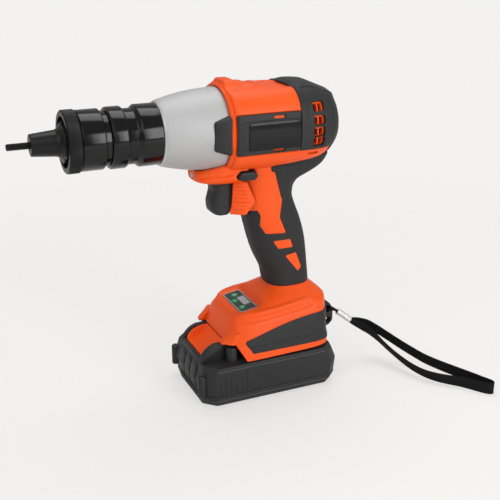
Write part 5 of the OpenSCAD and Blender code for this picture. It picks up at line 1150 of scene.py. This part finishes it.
front_lip = [(-57.2, 32.6), (-56.6, 36), (-55.4, 38), (-54.4, 38), (-54.4, 32.6)]
# A bead along each side under the top edge. It and the bead above the bottom chamfer are painted a
# lighter, glossier charcoal: a painted highlight.
rim = slab([(-49.5, 31), (44, 31), (44, 31.8), (-49.5, 31.8)], -38.25, -36.8, 0.3, 0.35)
stop = stood([[0, 33], [4.6, 33], [4.6, 44.4], [4.2, 45.2], [3.4, 45.6], [2, 45.6],
              [1.8, 45], [0, 45]],
             (-32.6, -26.2, 0))
pillar_x, pillar_y = -58.74, 30.02
pillar = stood([[0, 10.3], [2.8, 10.3], [3.3, 10.8], [3.3, 25.9], [2.9, 26.5], [2.3, 26.5],
                [2.2, 25.4], [0, 25.4]],
               (pillar_x, -pillar_y, 0))
pillar_web = slab([(-59.6, 11), (-55, 11), (-55, 26), (-59.6, 26)], -31.6, -28.4, 0.3, 0.4)
sides = [slab(fender, -22.3, -18.1, 0.8, 0.8), stop, pillar, pillar_web]
tower = [slab([(-23.6, 33), (42.48, 33), (42.48, 47), (-23.6, 47)], -20, 20, 0.5, 0.8),
         slab([(-23.6, 40.7), (42.48, 40.7), (42.48, 46.9), (-23.6, 46.9)], -24, 24, 0.5, 0.8)]
# Painted highlight: a lighter, glossier charcoal for the beads that stands for the top light their
# edges catch.
painted_highlight_charcoal = moulded("charcoal_painted_highlight", (0.05, 0.05, 0.051), (0.075, 0.075, 0.076), 0.36, 2000, 0.1)
low_rim = slab([(-49, 6.6), (46, 6.6), (46, 7.4), (-49, 7.4)], -38.45, -37.2, 0.3, 0.35)
fit(inlaid("pack_lower", low_part, joined(low_rim, other_side(low_rim)),
           [charcoal, painted_highlight_charcoal]),
    "battery", "black_shell", "battery_lower_case")
top_part = joined((top_walls, top_faces[:-1]), top_deck, *sides, *map(other_side, sides), *tower,
                  slab(front_lip, -18.1, 18.1, 0.3, 0.4))
fit(inlaid("pack_upper", top_part, joined(rim, other_side(rim)), [charcoal, painted_highlight_charcoal]),
    "battery", "black_shell", "battery_upper_case")


def set_out_tree():
    """A node tree that sets a piece out on given places, each turned to its own direction."""
    tree = bpy.data.node_groups.new("set_out", "GeometryNodeTree")
    for name, kind in (("Places", "Geometry"), ("Piece", "Object"), ("Finish", "Material")):
        tree.interface.new_socket(name, in_out="INPUT", socket_type="NodeSocket" + kind)
    tree.interface.new_socket("Pieces", in_out="OUTPUT", socket_type="NodeSocketGeometry")
    given = tree.nodes.new("NodeGroupInput").outputs
    places, piece, coat = (Wire(tree, given[name]) for name in ("Places", "Piece", "Finish"))
    shape = piece.add("GeometryNodeObjectInfo", inputs={"Object": piece})
    shape = Wire(tree, shape.socket.node.outputs["Geometry"])
    aim = piece.add("GeometryNodeInputNamedAttribute", {"data_type": "FLOAT_VECTOR"},
                    {"Name": "aim"})
    turned_to = piece.add("FunctionNodeAlignRotationToVector", {"axis": "Z"}, {"Vector": aim})
    copies = piece.add("GeometryNodeInstanceOnPoints", inputs={"Points": places, "Instance": shape,
                                                               "Rotation": turned_to})
    real = piece.add("GeometryNodeRealizeInstances", inputs={"Geometry": copies})
    coated = piece.add("GeometryNodeSetMaterial", inputs={"Geometry": real, "Material": coat})
    piece.add("NodeGroupOutput", inputs={"Pieces": coated})
    return tree


set_out_nodes = set_out_tree()


def set_out(name, shape, places, coat, aim=(0, 0, 1)):
    """Copies of a shape (corners and faces) at places in millimetres, as one plain mesh."""
    source = mesh_piece(name + "_one", *shape, coat, 35)
    spots = bpy.data.meshes.new(name + "_places")
    spots.from_pydata((np.asarray(places, float) * mm).tolist(), [], [])
    aims = spots.attributes.new("aim", "FLOAT_VECTOR", "POINT").data
    aims.foreach_set("vector", list(aim) * len(places))
    holder = placed(name + "_places", spots)
    layout = holder.modifiers.new("set_out", "NODES")
    layout.node_group = set_out_nodes
    values = {"Piece": source, "Finish": coat}
    for socket in set_out_nodes.interface.items_tree:
        if socket.name in values:
            layout[socket.identifier] = values[socket.name]
    bpy.context.view_layer.update()
    graph = bpy.context.evaluated_depsgraph_get()
    made = bpy.data.meshes.new_from_object(holder.evaluated_get(graph))
    made.name = name
    holder.modifiers.clear()
    for one in (holder, source):
        bpy.data.objects.remove(one)
    return placed(name, made)


side_rib = slab([(-0.45, 11), (0.45, 11), (0.45, 27.6), (-0.45, 27.6)], -38.35, -37.4, 0.25, 0.3)
fit(set_out("pack_side_ribs", joined(side_rib, other_side(side_rib)),
            [(-46 + 4.4 * k, 0, 0) for k in range(6)], charcoal), "battery", "black_shell")
front_panel = slab([(-56, 12.2), (-59.4, 12.2), (-60.6, 20), (-59, 28.6), (-57.2, 32.4),
                    (-56, 32.4)], -5.3, 5.3, 0.6, 0.5)
fit(set_out("pack_front_panels", front_panel, [(0, y, 0) for y in (-12.2, 0, 12.2)],
            charcoal),
    "battery", "black_shell")
front_rib = slab([(-55, 2.2), (-57.2, 2.2), (-58.7, 7), (-58.7, 9), (-55, 9)], -1.1, 1.1, 0.4, 0.3)
fit(set_out("pack_front_ribs", front_rib, [(0, -17.5 + 5 * k, 0) for k in range(8)],
            charcoal),
    "battery", "black_shell")

# Battery latch: an orange push button with a dished, grooved face between two raised cheeks,
# held up by a spring in the pack's pocket.
gx, gy = np.meshgrid(np.linspace(-53.7, -34.8, 110), np.linspace(-17.6, 17.6, 130), indexing="ij")
dish = eased(gx, [-53.7, -50.7, -46.6, -40.7, -36, -34.8], [38.1, 38.1, 39.1, 42.2, 47.1, 47.1], 1)
cheek = eased(gx, [-53.7, -53.3, -51.4, -48.4, -44.2, -40.1, -34.8],
              [37.6, 38.8, 41.8, 44.5, 46.2, 47.1, 47.1], 0.8)
at_cheek = step(16.0 - np.abs(gy), 1.6)
grooves = (0.4 * (0.5 - 0.5 * np.cos(2 * math.pi * (gx + 51.6) / 1.75))
           * step(np.abs(gx + 44.6) - 7, 0.6))
latch_top = np.stack([gx, gy, dish + (cheek - dish) * at_cheek - grooves * (1 - at_cheek)], 2)
latch_edge = pane_gap(gx, gy, (-44.25, 0), (18.9, 35.2), 1.0)
latch_skirt = slab([(-53.6, 34.8), (-53.6, 37), (-50.6, 37), (-46.4, 38), (-40.6, 41), (-36, 45.6),
                    (-35, 45.6), (-35, 34.8)], -17.5, 17.5, 0.4, 0.4)
latch_part = joined(skin(latch_top, latch_edge, 1.4, 0.5), latch_skirt)
fit(mesh_piece("latch_button", *latch_part, orange, 45), "latch", "orange_shell", "battery_latch")

# Screws: pan-head steel screws, blackened, with a cross recess. Five clamp the housing halves from
# the right, two hold the rear cap and two show in the battery's pillars.
def cross_recess(outline, t):
    """Arms of the recess, on the two rings that bound it."""
    arms = -0.95 * (1 - np.abs(np.cos(2 * t))[None, :] ** 3)
    return np.where(np.abs(outline[:, :1] - 1.5) < 0.2, arms, 0)


steel_black = black_metal("blackened_screw", (0.02, 0.02, 0.021), (0.06, 0.06, 0.06),
                          0.34, 0.4, 3000)
screw_head = stood([[0, -2.4], [2.8, -2.4], [2.8, -0.6], [2.5, -0.15], [2.2, 0], [1.6, 0],
                    [1.4, -1.1], [0, -1.2]],
                   (0, 0, 0), ripple=cross_recess)
screw_places = [(-41.72, 177.21), (-1.98, 178.14), (3.96, 136.6), (-27.73, 57.64), (42.48, 69)]
fit(set_out("clamp_screws", screw_head, [(x, 10.6, z) for x, z in screw_places], steel_black,
            (0, 1, 0)),
    "housing", "bright_steel", "housing_screws")
fit(set_out("rear_screws", screw_head,
            [(59.3, y, cap_screw_z) for y in (-cap_screw_y, cap_screw_y)], steel_black,
            (1, 0, 0)),
    "housing", "bright_steel", "cap_screws")
fit(set_out("pillar_screws", (screw_head[0] * 0.75, screw_head[1]),
            [(pillar_x, y, 26.6) for y in (-pillar_y, pillar_y)], steel_black),
    "battery", "black_steel")

# Drive: a hardened steel planetary gear set in the gear case, and the ground pull shaft with its
# chuck, which run in ball bearings.
def machined(name, low, high, rough, stretch):
    """Bare machined metal: fine cut lines one way, and a thin uneven film of oil."""
    made, shader, place = finish(name, {"Base Color": low, "Metallic": 1.0, "Roughness": rough})
    lines = place.add("ShaderNodeMapping", inputs={"Vector": place, "Scale": stretch}).noise(900, 3)
    film = place.noise(80, 3)
    feed(shader, Base_Color=(lines * 0.6 + film * 0.4).blend(low, high),
         Roughness=film * 0.2 + lines * 0.1 + (rough - 0.15))
    return made


def dress(coat, *nodes):
    for node in nodes:
        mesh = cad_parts[node].data
        mesh.materials.clear()
        mesh.materials.append(coat)


gear_steel = machined("hardened_steel", (0.36, 0.36, 0.37), (0.55, 0.55, 0.56), 0.35, (0.2, 1, 1))
dress(gear_steel, "planet_carrier", "planet_gear_1", "planet_gear_2", "planet_gear_3",
      "ring_gear", "sun_gear")
dress(machined("ground_steel", (0.5, 0.5, 0.51), (0.68, 0.68, 0.69), 0.24, (1, 0.2, 0.2)),
      "pull_shaft", "mandrel_chuck", "front_bearing", "rear_bearing", "thrust_bearing")

# Motor: a brushless motor with stacked steel laminations, enamelled copper coils, a cast mounting
# plate, a nylon fan on the rotor and a small board with three field sensors.
dress(machined("laminations", (0.28, 0.28, 0.29), (0.46, 0.46, 0.47), 0.4, (8, 0.3, 0.3)),
      "stator", "rotor")
dress(machined("enamelled_copper", (0.5, 0.17, 0.06), (0.74, 0.3, 0.13), 0.32, (6, 1, 1)),
      "stator_coils")
dress(case_silver, "motor_plate")
dress(charcoal, "cooling_fan")

# Switch and boards: a trigger switch in a nylon case with its return spring, the control board
# under the panel, and the terminal block that takes the battery's contacts.
board_green, shader, place = finish("circuit_board", {
    "Base Color": (0.02, 0.13, 0.05), "Roughness": 0.4})
tracks = place.add("ShaderNodeTexBrick", inputs={
    "Vector": place, "Scale": 160, "Mortar Size": 0.03, "Color1": (0.015, 0.1, 0.04, 1),
    "Color2": (0.025, 0.14, 0.055, 1), "Mortar": (0.35, 0.27, 0.08, 1)})
feed(shader, Base_Color=tracks)
dress(board_green, "hall_board", "control_board", "battery_board")
dress(charcoal, "trigger_switch", "terminal_block")
spring_wire = machined("spring_wire", (0.42, 0.42, 0.43), (0.6, 0.6, 0.61), 0.28, (1, 1, 1))


def coil(name, node, axis, wire, turns):
    """A wound spring that fills a node's box along one axis, from end to end."""
    low, high = (np.array(corner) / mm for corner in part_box(node))
    ahead = np.eye(3)[axis]
    side, up = np.eye(3)[(axis + 1) % 3], np.eye(3)[(axis + 2) % 3]
    radius = ((high - low) @ side) / 2 - wire
    t = np.linspace(0, 2 * math.pi * turns, 20 * turns + 1)[:, None]
    outward = np.cos(t) * side + np.sin(t) * up
    start = low * ahead + (low + high) / 2 * (1 - ahead) + wire * ahead
    middle = start + ahead * ((high - low) @ ahead - 2 * wire) * t / t[-1] + radius * outward
    u = full_turn(8)
    rings = np.array([c + wire * (np.cos(u)[:, None] * o + np.sin(u)[:, None] * ahead)
                      for c, o in zip(middle, outward)])
    return mesh_piece(name, *lofted(rings), spring_wire, 60)


return_spring = fit(coil("return_spring", "trigger_spring", 0, 0.35, 9), "housing", "bright_steel",
                    "trigger_spring")
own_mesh(return_spring)
catch_spring = fit(coil("catch_spring", "latch_spring", 2, 0.4, 4), "battery", "bright_steel",
                   "latch_spring")
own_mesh(catch_spring)

# Cells: five lithium cells in heat-shrunk blue sleeves, laid side by side across the pack and
# held by the two cases.
sleeve_blue = moulded("cell_sleeve", (0.02, 0.08, 0.2), (0.035, 0.115, 0.27), 0.35, 900, 0.05)
dress(sleeve_blue, "battery_cells")
